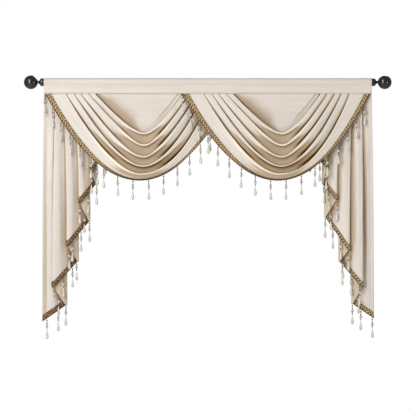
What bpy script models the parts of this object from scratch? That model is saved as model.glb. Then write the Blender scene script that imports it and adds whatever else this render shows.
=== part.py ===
"""A swag and tail drape on a curtain rod, in metres, +Z up, seen from -Y.

The origin is on the rod's axis, at the middle of its length. A flat heading with a rod pocket
carries a facing panel, two tails that fall in a zigzag of pleats, and two swags that overlap in the
middle. A braid with bead drops is sewn along every hem.
"""

import math
from collections import namedtuple

import bmesh
import bpy
from mathutils import Matrix, Vector
from mathutils.bvhtree import BVHTree

# ---------------------------------------------------------------- driving dimensions

DRAPE_WIDTH = 1.500  # the heading, edge to edge
CLOTH = 0.0014  # thickness of swags, tails and facing
HEADING_CLOTH = 0.0020  # the heading is turned double
SEWN_GAP = 0.0009  # between pieces that are sewn to each other

ROD_RADIUS = 0.0175
POCKET_CLEARANCE = 0.0006
LAP_Y = -0.0165  # front of the heading's lower edge, which laps over the sewn-in tops
SEAM_Z = -0.053  # lower edge of the heading, where swags and tails come out
POCKET_FLOOR_Z = -0.045  # underside of the pocket, which the sewn-in tops meet
TOPS_Z = POCKET_FLOOR_Z - 0.0005

CUP_RADIUS, CUP_LENGTH = 0.0180, 0.010
WAIST_RADIUS, WAIST_X = 0.0055, 0.0275
BALL_RADIUS, BALL_X = 0.0318, 0.0580

SWAG_CENTRES = {"left": -0.315, "right": 0.315}
SWAG_COLUMNS = 22
BRAID_WIDTH, BRAID_THICKNESS = 0.022, 0.0020

# Bead drops along each hem: distance of the first from the hem's outer or left end, then the pitch.
DropSpacing = namedtuple("DropSpacing", "first pitch")
DROPS = {
    "swag_left": DropSpacing(0.0080, 0.0714),
    "swag_right": DropSpacing(0.0080, 0.0714),
    "tail_left": DropSpacing(0.026, 0.0620),
    "tail_right": DropSpacing(0.010, 0.0620),
}

# ---------------------------------------------------------------- swag: fold lines and pleats

# The rim of each fold seen from the front, inner to outer, and then the hem. Sizes at the seam
# (half_width) and at the lowest point (low_x right of centre, drop under the seam, forward of the
# rod's axis). A power of 1.2 hangs as a V and 2 as a parabola.
FoldLine = namedtuple("FoldLine", "half_width low_x drop forward power_left power_right")
FOLD_LINES = (
    FoldLine(0.201, 0.025, 0.180, 0.031, 1.45, 1.20),
    FoldLine(0.233, 0.025, 0.234, 0.042, 1.27, 1.14),
    FoldLine(0.268, 0.022, 0.288, 0.053, 1.45, 1.26),
    FoldLine(0.298, 0.020, 0.331, 0.063, 1.60, 1.64),
    FoldLine(0.335, 0.011, 0.367, 0.071, 1.66, 2.10),
    FoldLine(0.430, 0.005, 0.395, 0.069, 2.05, 1.97),
)
ROUND_BOTTOM = 0.14  # how wide the round part of a V is, as a share of the half width

# One pleat from its rim to the next, at the middle of the swag, along its sides and at the seam.
# reach is the share of the way to the next rim, and over 1 the cloth is tucked behind it. back is
# how far behind the rims it lies, in metres. At the middle the pleats open into hollows.
Pleat = namedtuple("Pleat", "reach_middle reach_side back_middle back_side back_seam")
PLEAT = (
    Pleat(0.00, 0.00, 0.0000, 0.0000, 0.0000),  # rim
    Pleat(0.07, 0.30, 0.0012, 0.0002, 0.0002),  # lip
    Pleat(0.19, 0.62, 0.0150, 0.0030, 0.0010),  # hollow under the lip
    Pleat(0.50, 0.90, 0.0180, 0.0100, 0.0030),  # belly
    Pleat(0.82, 1.07, 0.0160, 0.0205, 0.0041),  # up to the next rim, or tucked behind it
    Pleat(0.93, 1.40, 0.0075, 0.0170, 0.0031),  # bottom of the tuck
    Pleat(0.985, 1.22, 0.0012, 0.0090, 0.0020),  # back up to the next rim
)
TOP_HEM = (
    Pleat(0.05, 0.60, 0.0125, 0.0090, 0.0036),  # the swag's upper edge, hidden behind its first rim
    Pleat(0.015, 0.25, 0.0060, 0.0060, 0.0020),  # up to the first rim
)
LAST_PLEAT = (
    Pleat(0.00, 0.00, 0.0000, 0.0000, 0.0000),  # rim
    Pleat(0.12, 0.20, 0.0006, 0.0004, 0.0002),  # lip
    Pleat(0.38, 0.42, 0.0040, 0.0016, 0.0012),  # hollow
    Pleat(0.74, 0.60, 0.0070, 0.0026, 0.0022),  # belly
    Pleat(0.96, 0.72, 0.0115, 0.0026, 0.0028),  # upper edge of the braid
    Pleat(1.01, 0.86, 0.0190, 0.0016, 0.0028),  # middle of the braid
    Pleat(0.96, 1.00, 0.0270, 0.0006, 0.0028),  # hem, turned under at the middle of the swag
)
# How the hollows between the rims differ: their depth at the middle and at the sides, and how far
# they reach along the fold line to the left and to the right.
Hollow = namedtuple("Hollow", "depth_middle depth_side reach_left reach_right")
HOLLOWS = (
    Hollow(0.90, 0.62, 0.56, 0.60),
    Hollow(1.10, 0.85, 0.66, 0.58),
    Hollow(1.20, 0.90, 0.56, 0.64),
    Hollow(1.55, 1.10, 0.74, 0.70),
    Hollow(1.00, 1.00, 0.70, 0.70),
)
SEAM_REACH = 0.72  # and the form at the seam fades in from here
SEAM_DEPTH = {"front": -0.0133, "behind": -0.0074}  # y of the rims at the seam

# end_left, end_right: in front or behind at the seam. lift: how far the left half is pushed forward
# by the swag that it lies on.
SwagForm = namedtuple("SwagForm", "centre end_left end_right lift right_fullness")
SWAGS = {
    "left": SwagForm(SWAG_CENTRES["left"], "front", "behind", 0.0, 1.5),
    "right": SwagForm(SWAG_CENTRES["right"], "front", "front", 0.018, 1.0),
}

# ---------------------------------------------------------------- tails: pleat folds

# The folds of each tail from its outer edge inwards: distance in from the drape's edge at the seam
# and at the hem, and the hem's drop under the seam. turn is -1 where the cloth turns back at its
# front, 1 where it turns forward at its back and 0 at an edge. forward is 0 where the open fold lies
# at the back and 1 where it lies at the front.
TailFold = namedtuple("TailFold", "turn in_top in_hem drop forward")
FORWARD_AT_SEAM = {-1: 1.0, 0: 0.7, 1: 0.0}  # by turn
TAIL_FOLDS = {
    "left": (
        TailFold(0, 0.000, -0.007, 1.043, 0.40),
        TailFold(1, 0.078, 0.107, 0.968, 0.00),
        TailFold(-1, 0.052, 0.040, 0.886, 1.00),
        TailFold(1, 0.128, 0.160, 0.768, 0.00),
        TailFold(-1, 0.088, 0.106, 0.699, 1.00),
        TailFold(1, 0.168, 0.213, 0.585, 0.00),
        TailFold(-1, 0.130, 0.161, 0.502, 1.00),
        TailFold(1, 0.202, 0.243, 0.415, 0.25),
        TailFold(-1, 0.172, 0.214, 0.365, 1.20),
        TailFold(0, 0.226, 0.300, 0.250, 1.20),
    ),
    "right": (
        TailFold(0, 0.000, -0.010, 1.029, 0.40),
        TailFold(1, 0.078, 0.093, 0.962, 0.00),
        TailFold(-1, 0.044, 0.041, 0.886, 1.00),
        TailFold(1, 0.128, 0.153, 0.768, 0.00),
        TailFold(-1, 0.088, 0.102, 0.717, 1.00),
        TailFold(1, 0.168, 0.218, 0.566, 0.00),
        TailFold(-1, 0.130, 0.158, 0.488, 1.00),
        TailFold(1, 0.202, 0.228, 0.415, 0.35),
        TailFold(-1, 0.172, 0.203, 0.342, 1.35),
        TailFold(0, 0.226, 0.296, 0.250, 1.35),
    ),
}
TAIL_FRONT = (-0.0072, -0.0400)  # y of the front folds, at the seam and when open
TAIL_BACK = (0.0012, 0.0024)
TAIL_LOOP = (0.0022, 0.0105)  # how far apart the two layers of a fold lie
TAIL_SWELL = 0.004  # how far the pleats between folds bow forward
TAIL_OPEN, LOOP_OPEN = 0.70, 0.55  # drops at which the pleats and the loops are open
TAIL_ROWS = (0.0, 0.07, 0.20, 0.38, 0.58, 0.80)  # of the length above the braid
BRAID_SLANT = 1.35  # height of the braid along a hem that runs at about 45 degrees, per width

FACING_MARGIN = 0.004
FACING_Y = (-0.0090, 0.0038)  # in the V of a swag, and behind the pleats
FACING_FLAT = 0.84  # of the V's half width is flat
FACING_DROP = (0.177, 0.035)  # scalloped lower edge: mean drop and wave

# A bead drop: thread with small beads, a cut bead and a teardrop, as (depth, radius).
DROP_FORM = ((0.000, 0.0009), (0.0290, 0.0060), (0.0430, 0.0017), (0.0770, 0.0062), (0.0915, 0.0012))
DROP_CLEARANCE = 0.0012

# ---------------------------------------------------------------- small helpers


def mix(a, b, share):
    return a + (b - a) * share


def smooth(share):
    share = min(1.0, max(0.0, share))
    return share * share * (3 - 2 * share)


def clear_scene():
    for obj in list(bpy.data.objects):
        bpy.data.objects.remove(obj)


def material(name, colour, roughness, metallic=0.0):
    made = bpy.data.materials.new(name)
    made.use_nodes = True
    shader = made.node_tree.nodes["Principled BSDF"]
    shader.inputs["Base Color"].default_value = (*colour, 1.0)
    shader.inputs["Roughness"].default_value = roughness
    shader.inputs["Metallic"].default_value = metallic
    return made


def add_object(name, mesh, finish):
    obj = bpy.data.objects.new(name, mesh)
    bpy.context.scene.collection.objects.link(obj)
    if finish:
        mesh.materials.append(finish)
    return obj


def mesh_of(name, bm):
    mesh = bpy.data.meshes.new(name)
    bm.to_mesh(mesh)
    bm.free()
    return mesh


def grid_bmesh(rows):
    """A bmesh grid whose points are rows of equally many points."""
    bm = bmesh.new()
    across, along = len(rows[0]), len(rows)
    bmesh.ops.create_grid(bm, x_segments=across - 1, y_segments=along - 1, size=1.0)
    bm.verts.ensure_lookup_table()
    for j, row in enumerate(rows):
        for i, point in enumerate(row):
            bm.verts[j * across + i].co = point
    # One fixed diagonal keeps sewn layers, which share their grid, parallel.
    bmesh.ops.triangulate(bm, faces=bm.faces, quad_method="FIXED")
    return bm


def thick_sheet(name, rows, thickness, finish):
    """A sheet of cloth whose middle surface goes through rows of points."""
    sheet = add_object(name, mesh_of(name, grid_bmesh(rows)), finish)
    sheet.data.shade_smooth()
    solidify = sheet.modifiers.new("cloth thickness", "SOLIDIFY")
    solidify.thickness = thickness
    solidify.offset = 0.0
    solidify.use_even_offset = False
    return sheet


# ---------------------------------------------------------------- swags


def bowl(along, power):
    """0 at the lowest point of a fold line and 1 at the seam, with a round bottom."""
    low = ROUND_BOTTOM**power
    height = (along * along + ROUND_BOTTOM**2) ** (power / 2)
    return (height - low) / ((1 + ROUND_BOTTOM**2) ** (power / 2) - low)


def fold_line(line, along):
    """(x from the swag's centre, z) of a fold line, from along = -1 at the left to 1 at the right."""
    power = line.power_left if along < 0 else line.power_right
    x = line.half_width * along + line.low_x * (1 - along * along)
    return x, SEAM_Z - line.drop * (1 - bowl(along, power))


def forward_of(form, line, along):
    """y of the rims along a fold line."""
    end = SEAM_DEPTH[form.end_left if along < 0 else form.end_right]
    fullness = (1 - along * along) ** (form.right_fullness if along > 0 else 1.0)
    y = mix(end, -line.forward, fullness)
    if along < 0:
        y -= form.lift * smooth((1 + along) / 0.35) * smooth(-along / 0.55)
    return y


def swag_point(form, fold, key, along):
    """A point of a swag's middle surface, where key is one step of the pleat after a fold's rim."""
    line, after, hollow = FOLD_LINES[fold], FOLD_LINES[fold + 1], HOLLOWS[fold]
    middle = smooth(1 - abs(along) / (hollow.reach_left if along < 0 else hollow.reach_right))
    seam = smooth((abs(along) - SEAM_REACH) / (1 - SEAM_REACH))
    reach = mix(key.reach_side, key.reach_middle, middle)
    back_side, back_middle = key.back_side * hollow.depth_side, key.back_middle * hollow.depth_middle
    back = mix(mix(back_side, back_middle, middle), key.back_seam, seam)
    (x0, z0), (x1, z1) = fold_line(line, along), fold_line(after, along)
    shelf = min(reach, 1.0)
    y = mix(forward_of(form, line, along), forward_of(form, after, along), shelf)
    return Vector((form.centre + mix(x0, x1, reach), y + back, mix(z0, z1, reach)))


def swag_keys():
    """(fold, step) of each row of a swag, from its hidden upper edge down to its hem."""
    rows = [(0, key) for key in TOP_HEM]
    last = len(FOLD_LINES) - 2
    for fold in range(last + 1):
        rows += [(fold, key) for key in (LAST_PLEAT if fold == last else PLEAT)]
    return rows


def swag_columns():
    """Places along the fold lines, closer together towards the seam, where they run steeply."""
    even = [2 * i / SWAG_COLUMNS - 1 for i in range(SWAG_COLUMNS + 1)]
    return [t * (1 + 0.25 * (1 - t * t)) for t in even]


def swag_row(form, fold, key):
    """One row of a swag from seam to seam, with its sewn-in ends behind the heading's edge."""
    row = [swag_point(form, fold, key, along) for along in swag_columns()]
    ends = [Vector((end.x, end.y, TOPS_Z)) for end in (row[0], row[-1])]
    return [ends[0], *row, ends[1]]


def swag_rows(form):
    return [swag_row(form, fold, key) for fold, key in swag_keys()]


# ---------------------------------------------------------------- tails


def tail_place(fold, drop):
    """Distance of a fold in from the drape's edge. Folds fan out from the seam."""
    lean = min(drop / fold.drop, 1.0)
    return mix(fold.in_top, fold.in_hem, 1 - (1 - lean) ** 2)


def tail_path(side):
    """The steps of a tail's zigzag, as (fold, next fold, share of the way). 0 and 1 are loop ends."""
    folds = TAIL_FOLDS[side]
    steps = [(folds[0], folds[0], 0.0)]
    for here, after in zip(folds, folds[1:]):
        shares = ([0.0] if here.turn else []) + [0.34, 0.67] + ([1.0] if after.turn else [])
        steps += [(here, after, share) for share in shares]
        steps.append((after, after, 0.0))
    return steps


def loop_at(drop):
    return mix(*TAIL_LOOP, smooth(drop / LOOP_OPEN))


def fold_depth(fold, layer, drop):
    """y of a fold: 0 is the layer before the fold's tip, 1 is the tip and 2 the layer after it."""
    opened = smooth(drop / TAIL_OPEN)
    forward = mix(FORWARD_AT_SEAM[fold.turn], fold.forward, opened)
    y = mix(mix(*TAIL_BACK, opened), mix(*TAIL_FRONT, opened), forward)
    before = {-1: 1.0, 0: 0.0, 1: 0.0}[fold.turn]
    return y + loop_at(drop) * (before - abs(fold.turn) * layer / 2)


def tail_point(side, step, drop):
    """A point of a tail at a drop under the seam."""
    here, after, share = step
    inward = -1 if side == "right" else 1
    edge = -inward * DRAPE_WIDTH / 2
    start_x, end_x = tail_place(here, drop), tail_place(after, drop)
    if here is after:
        return Vector((edge + inward * start_x, fold_depth(here, 1, drop), SEAM_Z - drop))
    half_loop = math.copysign(loop_at(drop) / 2, end_x - start_x)
    start_x += half_loop * abs(here.turn)
    end_x -= half_loop * abs(after.turn)
    swell = TAIL_SWELL * smooth(drop / LOOP_OPEN) * math.sin(math.pi * share)
    y = mix(fold_depth(here, 2, drop), fold_depth(after, 0, drop), share) - swell
    return Vector((edge + inward * mix(start_x, end_x, share), y, SEAM_Z - drop))


def tail_drop(step):
    """How long a tail is at a step of its zigzag."""
    here, after, share = step
    return mix(here.drop, after.drop, share)


def tail_rows(side):
    """Rows of points from the sewn-in top down to the hem, with three rows along the braid."""
    rows = [[], *([] for _ in TAIL_ROWS), [], [], []]
    for step in tail_path(side):
        length = tail_drop(step)
        above = length - BRAID_WIDTH * BRAID_SLANT
        drops = [above * share for share in TAIL_ROWS]
        drops += [above, (above + length) / 2, length]
        top = tail_point(side, step, 0.0)
        rows[0].append(Vector((top.x, top.y, TOPS_Z)))
        for row, drop in zip(rows[1:], drops):
            row.append(tail_point(side, step, drop))
    return rows


# ---------------------------------------------------------------- braid with bead drops


def offset_rows(rows, inner, distance):
    """The last rows of a sheet, moved off its face. inner is the row before them."""
    wide = [inner, *rows]
    moved = []
    for j, row in enumerate(wide[1:], 1):
        made = []
        for i, point in enumerate(row):
            down = wide[min(j + 1, len(wide) - 1)][i] - wide[j - 1][i]
            near = row[max(i - 1, 0) : i + 2]
            sides = [b - a for a, b in zip(near, near[1:])]
            normals = [side.cross(down).normalized() for side in sides]
            middle = sum(normals, Vector()).normalized()
            made.append(point + middle * distance / max(0.5, middle.dot(normals[0])))
        moved.append(made)
    return moved


def along_hem(hem, spacing):
    """Points at an even pitch along a line of points."""
    found, due, gone = [], spacing.first, 0.0
    for a, b in zip(hem, hem[1:]):
        span = (b - a).length
        while due <= gone + span:
            found.append(a.lerp(b, (due - gone) / span))
            due += spacing.pitch
        gone += span
    return found


def resting_lean(root, cloths):
    """How far forward the foot of a drop stands so that it rests on the cloth behind it."""
    lean = 0.0
    for depth, radius in DROP_FORM[1:]:
        start = Vector((root.x, root.y - 0.012, root.z - depth))
        for cloth in cloths:
            hit = cloth.ray_cast(start, Vector((0, 1, 0)), 0.030)[0]
            if hit:
                needed = root.y - (hit.y - radius - CLOTH - BRAID_THICKNESS - DROP_CLEARANCE)
                lean = max(lean, needed / depth)
    return lean


def add_drop(bm, root, lean):
    """One four-sided bead drop that hangs from root."""
    sunk = Vector((0, 0, 0.3 * BRAID_THICKNESS))
    (_, top_radius), (depth, radius) = DROP_FORM[0], DROP_FORM[1]
    height = depth + sunk.z
    made = bmesh.ops.create_cone(
        bm, cap_ends=True, segments=4, radius1=radius, radius2=top_radius, depth=height
    )["verts"]
    middle = root + sunk - Vector((0, 0, height / 2))
    bmesh.ops.translate(bm, verts=made, vec=middle)
    foot = min((f for v in made for f in v.link_faces), key=lambda f: f.calc_center_median().z)
    for before, (depth, radius) in zip(DROP_FORM[1:], DROP_FORM[2:]):
        foot = bmesh.ops.extrude_discrete_faces(bm, faces=[foot])["faces"][0]
        centre = foot.calc_center_median()
        target = Vector((root.x, root.y, root.z - depth))
        bmesh.ops.scale(
            bm, verts=foot.verts, vec=(radius / before[1],) * 3, space=Matrix.Translation(-centre)
        )
        bmesh.ops.translate(bm, verts=foot.verts, vec=target - centre)
        made += list(foot.verts)
    for vert in set(made):
        vert.co.y -= lean * max(0.0, root.z - vert.co.z)


def beaded_braid(cloth_name, rows, side_out, cloths, finish):
    """A braid along a cloth's hem, its last three rows, with bead drops fused to its lower edge."""
    name = cloth_name + "_beaded_braid"
    distance = side_out * (CLOTH / 2 + SEWN_GAP + BRAID_THICKNESS / 2)
    strip_rows = offset_rows(rows[-3:], rows[-4], distance)
    braid = thick_sheet(name, strip_rows, BRAID_THICKNESS, finish)
    bm = bmesh.new()
    for root in along_hem(strip_rows[-1], DROPS[cloth_name]):
        add_drop(bm, root, resting_lean(root, cloths))
    drops = add_object(name + "_drops", mesh_of(name + "_drops", bm), None)
    drops.hide_render = True
    drops.display_type = "WIRE"
    union = braid.modifiers.new("drops", "BOOLEAN")
    union.operation = "UNION"
    union.object = drops
    return braid


# ---------------------------------------------------------------- heading, facing and rod


def tangent_angle(point, radius):
    """The angle, from +Y towards +Z, where a line from point touches a circle round the origin."""
    distance = math.hypot(*point)
    bearing = math.atan2(point[1], point[0])
    opening = math.acos(radius / distance)
    return bearing - opening if point[0] < 0 else bearing + opening


def pocket_outline(front, back, radius, steps=14):
    """A loop of (y, z) from front, round the rod on a radius, to back."""
    start, end = tangent_angle(front, radius) % math.tau, tangent_angle(back, radius) % math.tau
    if end > start:
        end -= math.tau
    turn = [mix(start, end, i / steps) for i in range(steps + 1)]
    return [front, *((radius * math.cos(a), radius * math.sin(a)) for a in turn), back]


def prism(name, outline, half_length, finish=None):
    """An outline of (y, z) drawn out along X."""
    bm = bmesh.new()
    rim = [bm.verts.new((-half_length, y, z)) for y, z in outline]
    face = bm.faces.new(rim)
    drawn = bmesh.ops.extrude_face_region(bm, geom=[face])["geom"]
    moved = [item for item in drawn if isinstance(item, bmesh.types.BMVert)]
    bmesh.ops.translate(bm, verts=moved, vec=(2 * half_length, 0, 0))
    bmesh.ops.recalc_face_normals(bm, faces=bm.faces)
    return add_object(name, mesh_of(name, bm), finish)


def heading(finish):
    """The flat heading: a pocket round the rod, with its front edge lapping over the seam."""
    inner = ROD_RADIUS + POCKET_CLEARANCE
    lap_back, floor_back = LAP_Y + HEADING_CLOTH, 0.0068
    floor_top = POCKET_FLOOR_Z + HEADING_CLOTH
    outline = pocket_outline(
        (LAP_Y, SEAM_Z), (floor_back, POCKET_FLOOR_Z), inner + HEADING_CLOTH
    )
    outline += [(lap_back, POCKET_FLOOR_Z), (lap_back, SEAM_Z)]
    hollow = pocket_outline((lap_back, floor_top), (floor_back - HEADING_CLOTH, floor_top), inner)
    obj = prism("heading", outline, DRAPE_WIDTH / 2, finish)
    cutter = prism("heading_hollow", hollow, DRAPE_WIDTH)
    cutter.hide_render = True
    cutter.display_type = "WIRE"
    cut = obj.modifiers.new("hollow", "BOOLEAN")
    cut.operation = "DIFFERENCE"
    cut.object = cutter
    obj.data.shade_smooth()
    obj.data.set_sharp_from_angle(angle=math.radians(40))
    return obj


def facing_point(x, share):
    """A point of the flat panel that shows in the V of each swag."""
    centre = SWAG_CENTRES["left"] if x < 0 else SWAG_CENTRES["right"]
    aside = abs(x - centre) / FOLD_LINES[0].half_width
    y = mix(*FACING_Y, smooth((aside - FACING_FLAT) / (1 - FACING_FLAT)))
    y = mix(y, FACING_Y[1], share)
    wave = math.cos(math.tau * (x - centre) / (SWAG_CENTRES["right"] - SWAG_CENTRES["left"]))
    foot = SEAM_Z - FACING_DROP[0] - FACING_DROP[1] * wave
    return Vector((x, y, mix(TOPS_Z, foot, share)))


def facing(finish):
    edge, opening = DRAPE_WIDTH / 2 - FACING_MARGIN, FOLD_LINES[0].half_width
    bends = [opening * share for share in (-1, -FACING_FLAT, -0.4, 0, 0.4, FACING_FLAT, 1)]
    stations = [-edge, -0.63, 0.0, 0.63, edge]
    stations += [centre + bend for centre in SWAG_CENTRES.values() for bend in bends]
    stations.sort()
    rows = [[facing_point(x, share) for x in stations] for share in (0.0, 0.5, 1.0)]
    return thick_sheet("facing", rows, CLOTH, finish)


def rod(finish):
    bm = bmesh.new()
    bmesh.ops.create_cone(
        bm,
        cap_ends=True,
        segments=24,
        radius1=ROD_RADIUS,
        radius2=ROD_RADIUS,
        depth=DRAPE_WIDTH + 0.004,
        matrix=Matrix.Rotation(math.pi / 2, 4, "Y"),
    )
    obj = add_object("rod", mesh_of("rod", bm), finish)
    obj.data.shade_smooth()
    obj.data.set_sharp_from_angle(angle=math.radians(40))
    return obj


def finial_profile():
    """(x, radius) of a finial from its flat cup face, over the waist, round the ball."""
    profile = [(0.0, 0.0), (0.0, CUP_RADIUS), (CUP_LENGTH, CUP_RADIUS)]
    for i in range(1, 4):
        share = i / 4
        profile.append(
            (mix(CUP_LENGTH, WAIST_X, share), mix(CUP_RADIUS, WAIST_RADIUS, math.sin(share * math.pi / 2)))
        )
    start = math.asin(WAIST_RADIUS / BALL_RADIUS)
    for i in range(8):
        angle = mix(start, math.pi, i / 7)
        profile.append((BALL_X - BALL_RADIUS * math.cos(angle), BALL_RADIUS * math.sin(angle)))
    return profile


def finial(name, side, finish):
    """A cup, a waist and a ball, turned as one piece."""
    bm = bmesh.new()
    rim = [bm.verts.new((x, 0, r)) for x, r in finial_profile()]
    edges = [bm.edges.new(pair) for pair in zip(rim, rim[1:])]
    bmesh.ops.spin(
        bm,
        geom=rim + edges,
        axis=(1, 0, 0),
        cent=(0, 0, 0),
        angle=math.tau,
        steps=14,
        use_merge=True,
    )
    bmesh.ops.remove_doubles(bm, verts=bm.verts, dist=1e-6)
    if side < 0:
        bmesh.ops.scale(bm, verts=bm.verts, vec=(-1, 1, 1))
    bmesh.ops.recalc_face_normals(bm, faces=bm.faces)
    obj = add_object(name, mesh_of(name, bm), finish)
    obj.data.shade_smooth()
    obj.data.set_sharp_from_angle(angle=math.radians(40))
    obj.location.x = side * (DRAPE_WIDTH / 2 + 0.0023)
    return obj


# ---------------------------------------------------------------- assembly


def tree_of(rows):
    bm = grid_bmesh(rows)
    tree = BVHTree.FromBMesh(bm)
    bm.free()
    return tree


def build():
    clear_scene()
    cloth = material("satin_cloth", (0.80, 0.73, 0.65), 0.55)
    trim = material("braid_and_beads", (0.42, 0.30, 0.16), 0.60)
    black = material("black_lacquer", (0.012, 0.012, 0.013), 0.25)

    rod(black)
    finial("finial_left", -1, black)
    finial("finial_right", 1, black)
    heading(cloth)
    facing(cloth)

    cloths = {}
    for side in ("left", "right"):
        name = f"tail_{side}"
        rows = tail_rows(side)
        thick_sheet(name, rows, CLOTH, cloth)
        cloths[name] = tree_of(rows)
        beaded_braid(name, rows, 1 if side == "right" else -1, [cloths[name]], trim)
    for side, form in SWAGS.items():
        name = f"swag_{side}"
        rows = swag_rows(form)
        thick_sheet(name, rows, CLOTH, cloth)
        beaded_braid(name, rows, -1, list(cloths.values()), trim)
        cloths[name] = tree_of(rows)


build()
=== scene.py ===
"""A swag and tail drape on a curtain rod: cloth, braid, bead drops, rod and finials, in metres."""

import math
from collections import namedtuple

import bmesh
import bpy
import numpy as np
from mathutils import Matrix, Vector, noise
from mathutils.bvhtree import BVHTree


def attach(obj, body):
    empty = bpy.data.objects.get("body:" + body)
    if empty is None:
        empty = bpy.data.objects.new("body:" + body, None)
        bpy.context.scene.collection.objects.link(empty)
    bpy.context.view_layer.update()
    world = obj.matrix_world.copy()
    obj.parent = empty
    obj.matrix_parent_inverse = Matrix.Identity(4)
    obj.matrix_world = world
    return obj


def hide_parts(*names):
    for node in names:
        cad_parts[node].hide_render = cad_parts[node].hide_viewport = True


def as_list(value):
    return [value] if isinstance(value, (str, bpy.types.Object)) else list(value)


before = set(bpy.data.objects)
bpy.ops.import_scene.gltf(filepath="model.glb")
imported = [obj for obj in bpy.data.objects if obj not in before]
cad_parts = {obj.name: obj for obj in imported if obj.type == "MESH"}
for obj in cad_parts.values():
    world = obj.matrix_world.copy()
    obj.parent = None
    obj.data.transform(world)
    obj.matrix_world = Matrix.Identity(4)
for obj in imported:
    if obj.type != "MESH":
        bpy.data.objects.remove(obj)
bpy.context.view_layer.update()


def table(kind, *rows):
    return tuple(kind(*row) for row in rows)


# ------------ sizes shared with the solids

DRAPE_WIDTH = 1.500
ROD_RADIUS = 0.0175
ROD_LENGTH = DRAPE_WIDTH + 0.004
POCKET_RADIUS = 0.0191  # of the middle of the pocket's cloth, round the rod
LAP_Y = -0.0156  # of the heading's lower edge, in front of the swags
SEAM_Z = -0.053
POCKET_FLOOR = (0.0060, -0.0436)  # y of its back edge, and z
TOPS_Z = -0.0455  # of the sewn-in tops of the other cloths
CLOTH = 0.0009

SWAG_CENTRE = 0.315  # of each swag, from the drape's middle
BRAID_WIDTH = 0.022
BRAID_SLANT = 1.35  # how much further down the braid's band reaches on a slanting hem

CUP_RADIUS, CUP_LENGTH, CUP_ROUND, CUP_EDGE = 0.0180, 0.0125, 0.0012, 0.0020
FLARE_STEP, FLARE_POWER = 0.0006, 0.8  # from the cup to the neck
NECK_RADIUS, NECK_X, NECK_EDGE = 0.0067, (0.0215, 0.0275), 0.0012
BALL_RADIUS, BALL_X = 0.0318, 0.0580
FINIAL_X = DRAPE_WIDTH / 2 + 0.0023

# Bead drops along each hem: distance of the first from the hem's outer or left end, then the pitch.
DROPS = {
    "tail_left": (0.026, 0.0620),
    "tail_right": (0.010, 0.0620),
    "swag_left": (0.0080, 0.0714),
    "swag_right": (0.0080, 0.0714),
}
# 1 where the faces of a cloth's grid look forward, -1 where they look back.
OUTWARD = {
    "swag_left": -1, "swag_right": -1, "tail_left": -1, "tail_right": 1, "facing": -1, "heading": 1
}

# ------------ swag: fold lines and pleats

# From the top: low_x is how far a line's lowest point lies to the right, drop how far it hangs from
# the seam, forward how far it stands out there, and the powers shape its curve.
FoldLine = namedtuple("FoldLine", "half_width low_x drop forward power_left power_right")
FOLD_LINES = table(
    FoldLine,
    (0.201, 0.025, 0.180, 0.031, 1.45, 1.20), (0.233, 0.025, 0.234, 0.042, 1.27, 1.14),
    (0.268, 0.022, 0.288, 0.053, 1.45, 1.26), (0.298, 0.020, 0.331, 0.063, 1.60, 1.64),
    (0.335, 0.011, 0.367, 0.071, 1.66, 2.10), (0.430, 0.005, 0.395, 0.069, 2.05, 1.97),
)
ROUND_BOTTOM = 0.14  # how blunt the bottoms of the curves are

# A pleat from its rim down. reach is a share of the way to the next rim, back how far behind it.
Pleat = namedtuple("Pleat", "reach_middle reach_side back_middle back_side back_seam")
PLEAT = table(
    Pleat,
    (0, 0, 0, 0, 0),  # rim
    (0.11, 0.30, 0.0010, 0.0002, 0.0002),  # lip
    (0.22, 0.62, 0.0150, 0.0030, 0.0010),  # hollow under the lip
    (0.50, 0.90, 0.0180, 0.0100, 0.0030),  # belly
    (0.82, 1.07, 0.0160, 0.0205, 0.0041),  # up to the next rim, or tucked behind it
    (0.93, 1.40, 0.0075, 0.0170, 0.0031),  # bottom of the tuck
    (0.985, 1.22, 0.0012, 0.0090, 0.0020),  # back up to the next rim
)
TOP_HEM = table(
    Pleat,
    (0.05, 0.60, 0.0125, 0.0090, 0.0036),
    (0.015, 0.25, 0.0060, 0.0060, 0.0020),
)
LAST_PLEAT = table(
    Pleat,
    (0, 0, 0, 0, 0),  # rim
    (0.12, 0.20, 0.0006, 0.0004, 0.0002),  # lip
    (0.38, 0.42, 0.0040, 0.0016, 0.0012),  # hollow
    (0.74, 0.60, 0.0070, 0.0026, 0.0022),  # belly
    (0.86, 0.72, 0.0094, 0.0026, 0.0028),  # upper edge of the braid
    (0.975, 0.86, 0.0165, 0.0016, 0.0028),  # middle of the braid
    (0.965, 1.00, 0.0265, 0.0006, 0.0028),  # hem, turned under at the middle of the swag
)
# How the hollows differ. reach is how far they open along the fold line, tone how strong their
# painted shade is, and left, right and under the painted shade added deep in them at the sides and
# under the rim.
Hollow = namedtuple(
    "Hollow", "depth_middle depth_side reach_left reach_right tone left right under"
)
HOLLOWS = table(
    Hollow,
    (0.90, 0.62, 0.56, 0.60, 1.0, 0.14, 0.72, 0.02),
    (1.10, 0.85, 0.66, 0.58, 1.0, -0.26, 0.75, 0),
    (1.20, 0.90, 0.56, 0.64, 1.1, 0.16, 0.68, 0),
    (1.55, 1.10, 0.74, 0.70, 0.8, 0.22, 0.60, 0.30),
    (1.00, 1.00, 0.70, 0.70, 1.0, 0, 0, 0),
)
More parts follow.
